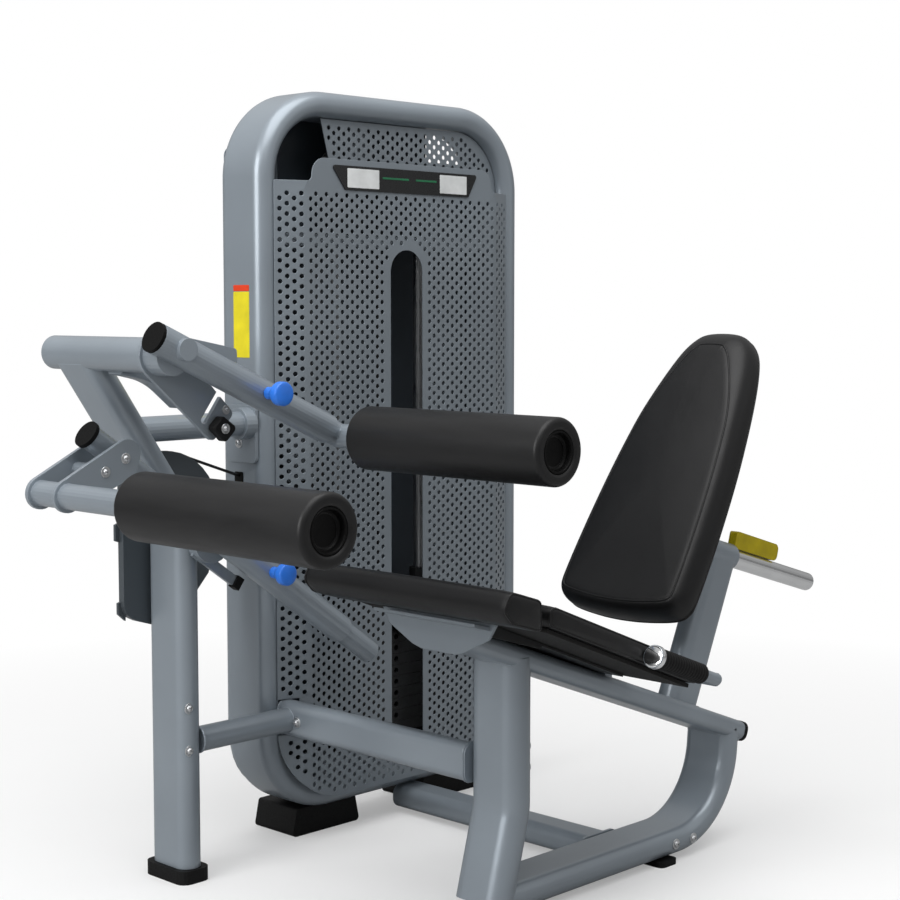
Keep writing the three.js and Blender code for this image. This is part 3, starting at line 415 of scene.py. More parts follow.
def bend_path(corners, closed=False, step=4.0):
    """Stations (point, normal) of a flat path with rounded corners [u, v, radius]."""
    out = []
    n = len(corners)
    for i, corner in enumerate(corners):
        here = Vector(corner[:2])
        prev, following = Vector(corners[i - 1][:2]), Vector(corners[(i + 1) % n][:2])
        first, last = (not closed and i == 0), (not closed and i == n - 1)
        after = (following - here).normalized() if not last else (here - prev).normalized()
        before = after if first else (here - prev).normalized()
        turn = math.atan2(before.x * after.y - before.y * after.x, before.dot(after))
        radius = corner[2] if len(corner) > 2 else 0
        if not radius or abs(turn) < 1e-6:
            half = (before + after).normalized()
            out.append((here, Vector((-half.y, half.x)) / max(half.dot(before), 0.3)))
            continue
        side = math.copysign(1, turn)
        start = here - before * radius * math.tan(abs(turn) / 2)
        centre = start + Vector((-before.y, before.x)) * radius * side
        steps = max(2, math.ceil(abs(math.degrees(turn)) / step))
        for k in range(steps + 1):
            a = turn * k / steps
            c, s = math.cos(a), math.sin(a)
            d = Vector((before.x * c - before.y * s, before.x * s + before.y * c))
            out.append((centre + Vector((d.y, -d.x)) * radius * side, Vector((-d.y, d.x))))
    return out


def in_plane(plane):
    """Places a point (u, v) of the plane, and w on the third axis."""
    order = {"xz": (0, 2, 1), "xy": (0, 1, 2), "yz": (2, 0, 1)}[plane]
    return lambda *uvw: at(*(uvw[i] for i in order))


def swept(plane, offset, corners, section, closed=False, step=4.0):
    """A tube swept along a flat path in the plane xz, xy or yz, at an offset on the third axis."""
    place = in_plane(plane)
    rings = bend_path(corners, closed, step)
    count = len(section)
    verts = [place(*(p + n * a), offset + b) for p, n in rings for a, b in section]
    faces = ring_faces(len(rings), count, closed)
    if not closed:
        far_end = (len(rings) - 1) * count
        faces += [tuple(range(count)), tuple(far_end + k for k in reversed(range(count)))]
    return verts, faces


def bar(start, end, radius, segments=32, chamfer=1.0):
    """A round bar with slightly broken edges between two points in millimetres."""
    a, b = at(*start), at(*end)
    length = (b - a).length / MM
    profile = [(0, 0), (radius - chamfer, 0), (radius, chamfer)]
    profile += [(radius, length - chamfer), (radius - chamfer, length), (0, length)]
    return lathe(profile, a, b - a, segments)


def rounded_outline(corners, step=10.0):
    """A closed outline of corners [u, v, radius] with round corners."""
    return [tuple(p) for p, _ in bend_path(corners, closed=True, step=step)]


def rectangle(low, high, radius):
    """The corners [u, v, radius] of a rectangle between two opposite corners."""
    (u0, v0), (u1, v1) = low, high
    return [(u0, v0, radius), (u1, v0, radius), (u1, v1, radius), (u0, v1, radius)]


def slab(outline, plane, low, high, edge=0.8):
    """A flat plate with a small chamfer on both faces; the outline runs in the plane."""
    place = in_plane(plane)
    n = len(outline)
    inner = inset(outline, edge)
    layers = [(inner, low), (outline, low + edge), (outline, high - edge), (inner, high)]
    verts = [place(u, v, w) for loop, w in layers for u, v in loop]
    faces = [tuple(range(n)), tuple(3 * n + k for k in reversed(range(n)))]
    return verts, faces + ring_faces(len(layers), n)


def inset(outline, distance):
    area = sum(a[0] * b[1] - b[0] * a[1] for a, b in zip(outline, outline[1:] + outline[:1]))
    sign = 1 if area > 0 else -1
    out = []
    for i, here in enumerate(outline):
        p, q = Vector(outline[i - 1]), Vector(outline[(i + 1) % len(outline)])
        h = Vector(here)
        a, b = (h - p).normalized(), (q - h).normalized()
        na, nb = Vector((-a.y, a.x)) * sign, Vector((-b.y, b.x)) * sign
        mid = (na + nb).normalized()
        out.append(tuple(h + mid * distance / max(0.4, mid.dot(na))))
    return out


def cord(points, radius, segments=8):
    """A thin round cord along a closed line of points in metres, for welts and weld beads."""
    n = len(points)
    verts, faces = [], []
    u = basis(points[1] - points[-1])[1]
    for i, p in enumerate(points):
        t = (points[(i + 1) % n] - points[i - 1]).normalized()
        u = (u - t * u.dot(t)).normalized()
        v = t.cross(u)
        r = radius(i) if callable(radius) else radius
        for k in range(segments):
            a = 2 * math.pi * k / segments
            verts.append(p + (u * math.cos(a) + v * math.sin(a)) * r * MM)
    # The cord's sides may have turned on the way round, so the last ring joins the nearest start.
    last = verts[(n - 1) * segments :]
    start = (verts[0] - points[0]).normalized()
    turned = max(range(segments), key=lambda k: (last[k] - points[n - 1]).normalized().dot(start))
    for i in range(n):
        j = (i + 1) % n
        shift = turned if j == 0 else 0
        for k in range(segments):
            m = (k + 1) % segments
            a, b = i * segments + (k + shift) % segments, i * segments + (m + shift) % segments
            faces.append((a, b, j * segments + m, j * segments + k))
    return verts, faces


def resampled(points, spacing):
    """Points at even spacing along a closed line, in the points' own unit."""
    ring = [*points, points[0]]
    lengths = [0.0]
    for a, b in zip(ring, ring[1:]):
        lengths.append(lengths[-1] + (b - a).length)
    count = max(4, round(lengths[-1] / spacing))
    out, k = [], 0
    for i in range(count):
        target = lengths[-1] * i / count
        while k < len(ring) - 2 and lengths[k + 1] < target:
            k += 1
        span = max(1e-9, lengths[k + 1] - lengths[k])
        out.append(ring[k].lerp(ring[k + 1], (target - lengths[k]) / span))
    return out


def weld(name, points):
    """A welded seam of the frame: a rippled bead along a closed line."""
    bead = cord(resampled(points, WELD_STEP), lambda i: WELD_R * (1 + 0.14 * math.sin(i * 1.9)), 7)
    piece(name, *bead, "frame_paint", "frame", angle=60)


def bolt(shape, place, axis, r):
    """A washer and a domed socket head of radius r that point along the axis."""
    washer = [(0, -0.6), (r + 3.4, -0.6), (r + 4, 0), (r + 4, 1.4), (r + 3.2, 2), (0, 2)]
    rim = [(0, 1.9), (r, 1.9), (r, 3.2)]
    dome = [(r * 0.93, r * 0.42 + 1.6), (r * 0.72, r * 0.62 + 1.8), (r * 0.42, r * 0.7 + 2)]
    socket = [(r * 0.38, r * 0.7 + 1.8), (r * 0.36, r * 0.25 + 2), (0, r * 0.22 + 2)]
    shape.add(*lathe(washer, place, axis, 32))
    shape.add(*lathe(rim + dome + socket, place, axis, 32))


def plate(name, outline, plane, low, high, edge, slot, body="frame", replaces=()):
    """A piece made of one flat plate."""
    return piece(name, *slab(outline, plane, low, high, edge), slot, body, replaces)


# ---------------------------------------------------------------- carried-over CAD pieces
for node, obj in frame["nodes"].items():
    obj.data.materials.clear()
    obj.data.materials.append(OWN_LOOK.get(node, MATERIALS[SLOT_OF[node]]))
    smooth(obj)


# ---------------------------------------------------------------- main tubes, with fine bends
HOOP_LO, HOOP_HI = local_box("tower_hoop")
HOOP_TUBE, HOOP_BEND = 50, 150
HOOP_MID_Y = (HOOP_LO.y + HOOP_HI.y) / 2
half = HOOP_TUBE / 2
hoop_low, hoop_high = (HOOP_LO.x + half, HOOP_LO.z + half), (HOOP_HI.x - half, HOOP_HI.z - half)
hoop_corners = rectangle(hoop_low, hoop_high, HOOP_BEND)
hoop_section = oval(HOOP_TUBE, HOOP_HI.y - HOOP_LO.y)
hoop = swept("xz", HOOP_MID_Y, hoop_corners, hoop_section, closed=True, step=3.0)
piece("hoop_tube", *hoop, "frame_paint", "frame", ["tower_hoop"], 40)

LEAN = math.tan(math.radians(34))
KNEE_Z = KNEE.z / MM
UPPER = Vector(JOINTS["thigh_arm_swing"]["pos_m"])
UPPER_X, UPPER_Z = (UPPER.x - ORIGIN.x) / MM, UPPER.z / MM
POST_X, POST_Y, POST_THIN, POST_WIDE = -31, 570, 50, 110


def lean_x(z):
    return (KNEE_Z - z) * LEAN


post = Shape()
post_path = [(POST_X, 26), (POST_X, KNEE_Z - POST_X / LEAN, 120), (lean_x(UPPER_Z - 6), UPPER_Z - 6)]
post.add(*swept("xz", POST_Y, post_path, oval(POST_THIN, POST_WIDE)))
post.add(*bar((0, 515.5, KNEE_Z), (0, 625.6, KNEE_Z), 37, 64, 2))
post.add(*bar((UPPER_X, 352, UPPER_Z), (UPPER_X, 650, UPPER_Z), 30, 64, 2))
strap = [(UPPER_X + 4, UPPER_Z - 26), (UPPER_X + 76, UPPER_Z - 42, 130), (UPPER_X + 136, UPPER_Z - 92)]
post.add(*swept("xz", 470, strap, oval(18, 40, 4)))
post.piece("pivot_post", "frame_paint", "frame", ["left_upright"])

RAIL_X, RAIL_Z, RAIL_SLOPE, RAIL_LENGTH, RAIL_THIN, RAIL_WIDE = 106, 517, -20.3, 863, 38, 110


def rail_z(x):
    return RAIL_Z + (x - RAIL_X) * math.tan(math.radians(RAIL_SLOPE))


SEAT_POST_X, LEG_X, LEG_Z, LEG_TOP_X = 252, 866, 36, 884
seat = Shape()
rail_path = [(RAIL_X, RAIL_Z), polar(RAIL_X, RAIL_Z, RAIL_SLOPE, RAIL_LENGTH)]
seat.add(*swept("xz", 0, rail_path, oval(RAIL_THIN, RAIL_WIDE, 15)))
seat_post_path = [(207, 26), (SEAT_POST_X, 190, 120), (SEAT_POST_X, rail_z(SEAT_POST_X))]
seat.add(*swept("xz", 0, seat_post_path, oval(62, 114)))
leg_path = [(LEG_TOP_X, rail_z(LEG_TOP_X)), (LEG_X, LEG_Z, 165), (211, LEG_Z)]
seat.add(*swept("xz", 0, leg_path, oval(50, 110, 22), step=3.0))
seat.piece("seat_frame_tubes", "frame_paint", "frame", ["seat_frame"])

TIE_X, TIE_Z, BEAM_X, BEAM_Z = 232, 263, 590, 31
REACH_Y, REACH_R = 537, 24
tie = Shape()
tie.add(*swept("xy", TIE_Z, [(TIE_X, 52), (TIE_X, HOOP_LO.y - 0.4)], oval(40, 70, 18)))
tie.add(*bar((POST_X + POST_THIN / 2 + 0.4, REACH_Y, TIE_Z), (TIE_X, REACH_Y, TIE_Z), REACH_R, 48, 0.5))
tie.piece("cross_tie_tube", "frame_paint", "frame", ["cross_tie"])

beam = Shape()
beam.add(*swept("xy", BEAM_Z, [(BEAM_X, 57.4), (BEAM_X, 590)], oval(76, 48, 20)))
beam_plate = rectangle((BEAM_X - 57, 8), (BEAM_X + 57, 56), 20)
beam.add(*slab(rounded_outline(beam_plate), "xz", 55.4, 61.4))
beam.piece("base_beam_tube", "frame_paint", "frame", ["base_beam"])

SLIDE_X, SLIDE_Z, SLIDE_SLOPE, SLIDE_R = 830, 594, -16.1, 19


def slide_at(d):
    return polar(SLIDE_X, SLIDE_Z, SLIDE_SLOPE, d)


upright = Shape()
upright.add(*swept("xz", 0, [(758, rail_z(758) + 14), slide_at(62)], oval(92, 50, 22)))
(front_x, front_z), (rear_x, rear_z) = slide_at(16), slide_at(104)
upright.add(*bar((front_x, 0, front_z), (rear_x, 0, rear_z), SLIDE_R + 8, 48, 1.5))
upright.piece("back_upright_tube", "frame_paint", "frame", ["back_upright"])


# ---------------------------------------------------------------- weld beads at the tube joints
half_rail = RAIL_THIN / 2 / math.cos(math.radians(RAIL_SLOPE))
for name, x, side, section in (
    ("weld_seat_post", SEAT_POST_X, -1, oval(63, 106, 30)),
    ("weld_leg_top", LEG_TOP_X, -1, oval(51, 106, 22)),
    ("weld_back_foot", 764, 1, oval(100, 51, 22)),
):
    weld(name, [at(x + a, b, rail_z(x + a) + side * half_rail) for a, b in section])
for name, y in (("weld_tie_tower", HOOP_LO.y - 1), ("weld_tie_seat", 57)):
    weld(name, [at(TIE_X + a, y, TIE_Z + b) for a, b in oval(40, 70, 18)])
reach_round = [polar(REACH_Y, TIE_Z, 360 * k / 40, REACH_R) for k in range(40)]
weld("weld_reach_post", [at(POST_X + POST_THIN / 2, y, z) for y, z in reach_round])


# ---------------------------------------------------------------- perforated shrouds
HOLE_R, HOLE_STEP, HOLE_PITCH, HOLE_SIDES = 4.8, 13.6, 20.0, 10


def inside(poly, x, y):
    hit = False
    for (ax, ay), (bx, by) in zip(poly, poly[1:] + poly[:1]):
        if (ay > y) != (by > y) and x < (bx - ax) * (y - ay) / (by - ay) + ax:
            hit = not hit
    return hit


def clear_of(outline, margin, points, within=False):
    """Those of the points that lie outside an outline, or within it, by more than a margin."""
    p = np.array(points)
    gaps = np.full(len(p), 1e9)
    for a, b in zip(outline, outline[1:] + outline[:1]):
        a, b = np.array(a), np.array(b)
        d = b - a
        t = np.clip(((p - a) @ d) / max(1e-9, d @ d), 0, 1)
        gaps = np.minimum(gaps, np.linalg.norm(p - (a + t[:, None] * d), axis=1))
    return [c for c, gap in zip(points, gaps) if gap > margin and inside(outline, *c) == within]


def perforated(name, outline, cutouts, centres, depth_at, replaces):
    """A sheet with round holes: outline, cut-outs and hole centres in x and z, and depth_at(x) along y."""
    points, edges = [], []

    def loop(ring):
        base = len(points)
        points.extend(Vector(p) for p in ring)
        edges.extend((base + i, base + (i + 1) % len(ring)) for i in range(len(ring)))

    loop(outline)
    for ring in cutouts:
        loop(ring)
    turns = [2 * math.pi * (k + 0.5) / HOLE_SIDES for k in range(HOLE_SIDES)]
    for x, z in centres:
        loop([(x + HOLE_R * math.cos(t), z + HOLE_R * math.sin(t)) for t in turns])
    flat, _, triangles, *_ = delaunay_2d_cdt(points, edges, [], 0, 1e-4)
    flat = [(p.x, p.y) for p in flat]
    mids = np.array([[sum(flat[i][k] for i in t) / 3 for k in (0, 1)] for t in triangles])
    grid = {}
    for x, z in centres:
        grid.setdefault((round(x / HOLE_PITCH), round(z / HOLE_PITCH)), []).append((x, z))
    keep = []
    for t, (mx, mz) in zip(triangles, mids):
        gx, gz = round(mx / HOLE_PITCH), round(mz / HOLE_PITCH)
        near = [c for i in (-1, 0, 1) for j in (-1, 0, 1) for c in grid.get((gx + i, gz + j), ())]
        if any(math.dist((mx, mz), c) < HOLE_R * 0.98 for c in near):
            continue
        if not inside(outline, mx, mz) or any(inside(ring, mx, mz) for ring in cutouts):
            continue
        keep.append(t)
    count = len(flat)
    verts = [at(x, depth_at(x) + back, z) for back in (0, SHEET) for x, z in flat]
    faces = []
    borders = {}
    for a, b, c in keep:
        faces += [(a, b, c), (c + count, b + count, a + count)]
        for e in ((a, b), (b, c), (c, a)):
            key = (min(e), max(e))
            borders[key] = None if key in borders else e
    for e in borders.values():
        if e:
            a, b = e
            faces.append((b, a, a + count, b + count))
    used = sorted({i for f in faces for i in f})
    index = {old: new for new, old in enumerate(used)}
    kept = [tuple(index[i] for i in f) for f in faces]
    return piece(name, [verts[i] for i in used], kept, "shroud_paint", "frame", replaces, 25)


SHROUD_LO, SHROUD_HI = local_box("front_shroud")
LEFT, RIGHT, BASE, SHROUD_TOP = SHROUD_LO.x, SHROUD_HI.x, SHROUD_LO.z, SHROUD_HI.z
FRONT_Y, WING, WING_BACK, WING_TOP, SHEET = SHROUD_LO.y, 61, 26, 1315, 2
SLOT_X, SLOT_HALF, SLOT_LOW, SLOT_TOP = 543, 46, 140, 1186
shoulder = WING + 14
shroud_outline = rounded_outline(
    [
        (LEFT, BASE, 150),
        (RIGHT, BASE, 150),
        (RIGHT, WING_TOP, 3),
        (RIGHT - shoulder, WING_TOP, 12),
        (RIGHT - shoulder, SHROUD_TOP, 33),
        (LEFT + shoulder, SHROUD_TOP, 33),
        (LEFT + shoulder, WING_TOP, 12),
        (LEFT, WING_TOP, 3),
    ],
    6,
)
slot_low = [(SLOT_X + side * SLOT_HALF, SLOT_LOW, 4) for side in (-1, 1)]
slot_top = [(SLOT_X + side * SLOT_HALF, SLOT_TOP, SLOT_HALF - 0.5) for side in (1, -1)]
slot_outline = rounded_outline(slot_low + slot_top, 6)
NOTCH_HALF = 36
notch_corners = rectangle((LEFT + 0.5, TIE_Z - NOTCH_HALF), (TIE_X + 21, TIE_Z + NOTCH_HALF), 0)
notch = [corner[:2] for corner in notch_corners]
FOLD_L, FOLD_R = LEFT + WING, RIGHT - WING


def shroud_depth(x):
    if x < FOLD_L:
        return FRONT_Y + WING_BACK * (FOLD_L - x) / WING
    if x > FOLD_R:
        return FRONT_Y + WING_BACK * (x - FOLD_R) / WING
    return FRONT_Y


def staggered(first, last, low, high, odd=0):
    """Hole centres in staggered columns between two x and two z limits."""
    columns = max(1, int((last - first) / HOLE_STEP + 1e-6))
    spare = (last - first - columns * HOLE_STEP) / 2
    out = []
    for i in range(columns + 1):
        z = low + (HOLE_PITCH / 2 if (i + odd) % 2 else 0)
        while z <= high:
            out.append((first + spare + i * HOLE_STEP, z))
            z += HOLE_PITCH
    return out


EDGE_MARGIN, SLOT_MARGIN, NOTCH_MARGIN, TOP_MARGIN = 8.9, 15.5, 10, 11
HOLES_LOW, HOLES_HIGH = BASE + 16, WING_TOP - 22
candidates = staggered(LEFT + 9, FOLD_L - 8, HOLES_LOW, HOLES_HIGH)
candidates += staggered(FOLD_L + 8, FOLD_R - 8, HOLES_LOW, HOLES_HIGH)
candidates += staggered(FOLD_R + 8, RIGHT - 9, HOLES_LOW, HOLES_HIGH, 1)
shroud_holes = clear_of(shroud_outline, EDGE_MARGIN, candidates, within=True)
shroud_holes = clear_of(slot_outline, SLOT_MARGIN, shroud_holes)
shroud_holes = clear_of(notch, NOTCH_MARGIN, shroud_holes)
cutouts = slot_outline, notch
perforated("front_shroud_sheet", shroud_outline, cutouts, shroud_holes, shroud_depth, ["front_shroud"])

TOP_LO, TOP_HI = local_box("top_panel")
top_left, top_right = [(SLOT_X - 151, TOP_LO.z, 0)], [(TOP_HI.x, TOP_LO.z, 0), (TOP_HI.x, TOP_HI.z, 126)]
top_outline = rounded_outline([*top_left, *top_right, (SLOT_X - 187, TOP_HI.z, 0)], 5)
top_candidates = staggered(TOP_LO.x + 20, TOP_HI.x - 10, SHROUD_TOP + 6, TOP_HI.z - 12)
top_holes = clear_of(top_outline, TOP_MARGIN, top_candidates, within=True)
perforated("top_panel_sheet", top_outline, [], top_holes, lambda x: TOP_LO.y, ["top_panel"])


# The rear sheet is painted like the front one, with a dark panel behind the stack.
REAR_LO, REAR_HI = local_box("rear_shroud")
REAR_STEP, REAR_X0, REAR_X1 = 1386, 335, 750
rear_outline = rounded_outline(
    [
        (REAR_LO.x, REAR_LO.z, 132),
        (REAR_HI.x, REAR_LO.z, 132),
        (REAR_HI.x, REAR_STEP, 20),
        (REAR_X1, REAR_STEP, 12),
        (REAR_X1, REAR_HI.z, 12),
        (REAR_X0, REAR_HI.z, 12),
        (REAR_X0, REAR_STEP, 12),
        (REAR_LO.x, REAR_STEP, 20),
    ]
)
plate("rear_sheet", rear_outline, "xz", REAR_LO.y, REAR_HI.y, 0.4, "shroud_paint", "frame", ["rear_shroud"])
panel_low = [(REAR_X0 - 3, 130, 10), (REAR_X1 + 3, 130, 10)]
panel_top = [(REAR_X1 + 3, REAR_HI.z - 3, 8), (REAR_X0 - 3, REAR_HI.z - 3, 8)]
panel_outline = rounded_outline(panel_low + panel_top)
plate("rear_dark_panel", panel_outline, "xz", REAR_LO.y - 2.5, REAR_LO.y + 0.2, 0.4, "guard_back")


# ---------------------------------------------------------------- placard and label, both blank
PLACARD_LO, PLACARD_HI = local_box("placard")
sign_y = PLACARD_LO.y
mid_z = (PLACARD_LO.z + PLACARD_HI.z) / 2
cards, stripes = Shape(), Shape()
for shape, x0, x1, z0, z1 in (
    (cards, -166, -80, -19, 19),
    (cards, 94, 174, -19, 19),
    (stripes, -70, 4, 2, 6),
    (stripes, 24, 84, 2, 6),
):
    card = rectangle((SLOT_X + x0, mid_z + z0), (SLOT_X + x1, mid_z + z1), 1.5)
    shape.add(*slab(rounded_outline(card, 30), "xz", sign_y - 0.7, sign_y + 0.3, 0.2))
cards.piece("placard_cards", "card_white", "frame")
stripes.piece("placard_stripes", "stripe_green", "frame")
side_x = HOOP_LO.x
LABEL_Y0, LABEL_Y1, LABEL_LOW, LABEL_TOP, BAND_TOP = 598, 646, 972, 1100, 1113
for name, low, high, slot in (
    ("blank_label", LABEL_LOW, LABEL_TOP, "label_yellow"),
    ("blank_label_band", LABEL_TOP + 1, BAND_TOP, "label_red"),
):
    outline = rounded_outline(rectangle((LABEL_Y0, low), (LABEL_Y1, high), 2), 30)
    plate(name, outline, "yz", side_x - 0.5, side_x + 0.3, 0.15, slot)
grommet = rounded_outline(rectangle((621, 716), (647, 748), 3), 15)
plate("cable_grommet", grommet, "yz", side_x - 1.2, side_x + 1, 0.5, "black_plastic")


# ---------------------------------------------------------------- the stack's cable, on a mesh of its own
DROP_LO, DROP_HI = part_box("cable_drop")
DROP_MID = (DROP_LO + DROP_HI) / 2
drop_radius = (DROP_HI.x - DROP_LO.x) / 2 / MM
drop_length = DROP_HI.z - DROP_LO.z
drop_start = Vector((DROP_MID.x, DROP_MID.y, DROP_LO.z))
rope = [(0, 0), (drop_radius, 0), (drop_radius, drop_length / MM), (0, drop_length / MM)]
rope_shell = lathe(rope, drop_start, Z, 24)
stack_cable = piece("stack_cable", *rope_shell, "cable_coat", "frame", ["cable_drop"], 40)
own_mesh(stack_cable)


# ---------------------------------------------------------------- foam rollers
def foam_roller(name, node, body, edge=9):
    lo, hi = local_box(node)
    r = (hi.z - lo.z) / 2
    length = hi.y - lo.y
    cup = r * 0.66
    foam = [(cup - 1, 14), (cup - 1, 3), (cup + 1.5, 0.8), (cup + 4, 0)]
    foam += [polar(r - edge, edge, 90 * k / 7 - 90, edge) for k in range(8)]
    foam += [(r, length / 2)]
    foam += [polar(r - edge, length - edge, 90 * k / 7, edge) for k in range(8)]
    foam += [(cup, length), (24, length - 1), (24, 14), (cup - 1, 14)]
    centre = at((lo.x + hi.x) / 2, lo.y, (lo.z + hi.z) / 2)
    piece(name, *lathe(foam, centre, Y, 96), "foam", body, [node], 40)
    # A plastic cap sits in the cup, with a rim and a shallow dish.
    rim = [(0, 28), (cup - 1.6, 28), (cup - 1.6, 3.5), (cup - 3, 2.2), (cup - 5.5, 2.2)]
    dish = [(cup - 7, 4), (cup - 8.5, 12), (cup - 12, 15), (10, 17), (0, 17.4)]
    piece(name + "_cap", *lathe(rim + dish, centre, Y, 72), "black_plastic", body)


foam_roller("ankle_roller_foam", "ankle_roller", "ankle_roll")
foam_roller("thigh_roller_foam", "thigh_roller", "thigh_roll")


# ---------------------------------------------------------------- pads
def apply_modifiers(obj):
    bpy.context.view_layer.update()
    graph = bpy.context.evaluated_depsgraph_get()
    mesh = bpy.data.meshes.new_from_object(obj.evaluated_get(graph))
    obj.modifiers.clear()
    old = obj.data
    obj.data = mesh
    bpy.data.meshes.remove(old)


def inflate(obj, pressure, cap, pinned, panels):
    """Cloth under inner pressure, held at the pinned points; no point moves further than cap millimetres.

    Each end panel (points, share of the crown, outward) swells by its mean lift, in one even crown."""
    rest = np.array([v.co for v in obj.data.vertices])
    group = obj.vertex_groups.new(name="pin")
    group.add([int(i) for i in pinned], 1.0, "REPLACE")
    cloth = obj.modifiers.new("cloth", "CLOTH")
    s = cloth.settings
    s.quality = 5
    s.mass = 0.3
    s.tension_stiffness = 15
    s.compression_stiffness = 15
    s.shear_stiffness = 5
    s.bending_stiffness = 2.0
    s.use_pressure = True
    s.uniform_pressure_force = pressure
    s.effector_weights.gravity = 0.0
    s.vertex_group_mass = "pin"
    cloth.collision_settings.use_collision = False
    cloth.collision_settings.use_self_collision = False
    for f in range(1, 21):
        bpy.context.scene.frame_set(f)
    apply_modifiers(obj)
    bpy.context.scene.frame_set(1)
    now = np.array([v.co for v in obj.data.vertices])
    move = now - rest
    far = np.linalg.norm(move, axis=1, keepdims=True) / (cap * MM)
    move *= np.tanh(far) / np.maximum(far, 1e-9)
    move = spread_evenly(obj, move, pinned)
    for points, share, outward in panels:
        lift = (move[points] @ np.array(outward)).mean() / max(1e-9, share.mean())
        move[points] = share[:, None] * lift * np.array(outward)
    obj.data.vertices.foreach_set("co", (rest + move).ravel())
    obj.data.update()
    obj.vertex_groups.clear()


def spread_evenly(obj, move, pinned, rounds=40):
    """Smooths the points' moves over the mesh, so that the pad swells without creases."""
    ends = np.empty(2 * len(obj.data.edges), dtype=np.int32)
    obj.data.edges.foreach_get("vertices", ends)
    a, b = ends[::2], ends[1::2]
    near = np.bincount(ends, minlength=len(move)).reshape(-1, 1)
    for _ in range(rounds):
        total = np.zeros_like(move)
        np.add.at(total, a, move[b])
        np.add.at(total, b, move[a])
        move = 0.5 * move + 0.5 * total / near
        move[pinned] = 0.0
    return move


def relax(obj, pinned, rounds=3):
    """Evens out the surface between the pinned points."""
    held = set(int(i) for i in pinned)
    made = bmesh.new()
    made.from_mesh(obj.data)
    made.verts.ensure_lookup_table()
    free = [v for v in made.verts if v.index not in held]
    all_axes = {"use_axis_x": True, "use_axis_y": True, "use_axis_z": True}
    for _ in range(rounds):
        bmesh.ops.smooth_vert(made, verts=free, factor=0.5, **all_axes)
    made.to_mesh(obj.data)
    made.free()


def crown_share(k, steps):
    """How much of a panel's full crown its k-th ring from the seam has."""
    return 1 - (1 - k / steps) ** 2


def panel(ring, outward, crown, steps):
    """Rings from a panel's seam to near its middle, swelling outward by crown millimetres."""
    middle = sum(ring, Vector()) / len(ring)
    rows = []
    for k in range(1, steps):
        lift = outward * crown * MM * crown_share(k, steps)
        rows.append([middle.lerp(p, 1 - k / steps) + lift for p in ring])
    return rows, middle + outward * crown * MM


def sewn_pad(name, node, body, rings, seams, first, last, flat, pressure=4.0, cap=5.0):
    """A closed pad of rings with equal counts; its end panels first and last are (outward, crown, steps).

    seams lists the rings that are sewn down and carry a welt, and flat is the direction it rests on."""
    count = len(rings[0])
    start_rows, start_middle = panel(rings[0], *first)
    end_rows, end_middle = panel(rings[-1], *last)
    rows = start_rows[::-1] + rings + end_rows
    verts = [p for row in rows for p in row] + [start_middle, end_middle]
    faces = ring_faces(len(rows), count)
    tail = (len(rows) - 1) * count
    for k in range(count):
        m = (k + 1) % count
        faces += [(len(verts) - 2, m, k), (len(verts) - 1, tail + k, tail + m)]
    mesh = bpy.data.meshes.new(name)
    mesh.from_pydata([tuple(v) for v in verts], [], faces)
    made = bmesh.new()
    made.from_mesh(mesh)
    bmesh.ops.recalc_face_normals(made, faces=made.faces)
    made.normal_update()
    resting = [v.index for v in made.verts if v.normal.dot(flat) > 0.8]
    made.to_mesh(mesh)
    made.free()
    obj = linked(name, mesh)
    sewn = [(len(start_rows) + i) * count + k for i in seams for k in range(count)]
    pinned = sorted(set(resting + sewn))
    start_share = np.repeat([crown_share(first[2] - k, first[2]) for k in range(1, first[2])], count)
    end_share = np.repeat([crown_share(k, last[2]) for k in range(1, last[2])], count)
    start_points = np.append(np.arange(len(start_share)), len(verts) - 2)
    end_points = np.append(np.arange(len(rows) * count - len(end_share), len(rows) * count), len(verts) - 1)
    panels = (
        (start_points, np.append(start_share, 1.0), first[0]),
        (end_points, np.append(end_share, 1.0), last[0]),
    )
    inflate(obj, pressure, cap, pinned, panels)
    relax(obj, pinned)
    sewn_points = [obj.data.vertices[i].co.copy() for i in sewn]
    welt_lines = [sewn_points[i * count : (i + 1) * count] for i in range(len(seams))]
    sub = obj.modifiers.new("sub", "SUBSURF")
    sub.levels = sub.render_levels = 1
    apply_modifiers(obj)
    dress(obj, "vinyl", body, [node], 0)
    obj.data.shade_smooth()
    welts = Shape()
    for line in welt_lines:
        welts.add(*cord(resampled(line, WELT_STEP), WELT_R))
    welts.piece(name + "_welt", "vinyl", body, angle=60)
    return obj


def spline(points, steps):
    """A closed smooth curve through points."""
    n = len(points)
    out = []
    for i in range(n):
        p0, p1, p2, p3 = (Vector(points[(i + k) % n]) for k in (-1, 0, 1, 2))
        for k in range(steps):
            t = k / steps
            out.append(0.5 * (2 * p1 + (p2 - p0) * t + (2 * p0 - 5 * p1 + 4 * p2 - p3) * t * t
                              + (3 * p1 - p0 - 3 * p2 + p3) * t ** 3))
    return [tuple(p) for p in out]


def even_ring(outline, spacing):
    """Points at even spacing round a flat outline in millimetres."""
    ring = resampled([Vector((u, v, 0)) for u, v in outline], spacing)
    return [(p.x, p.y) for p in ring]


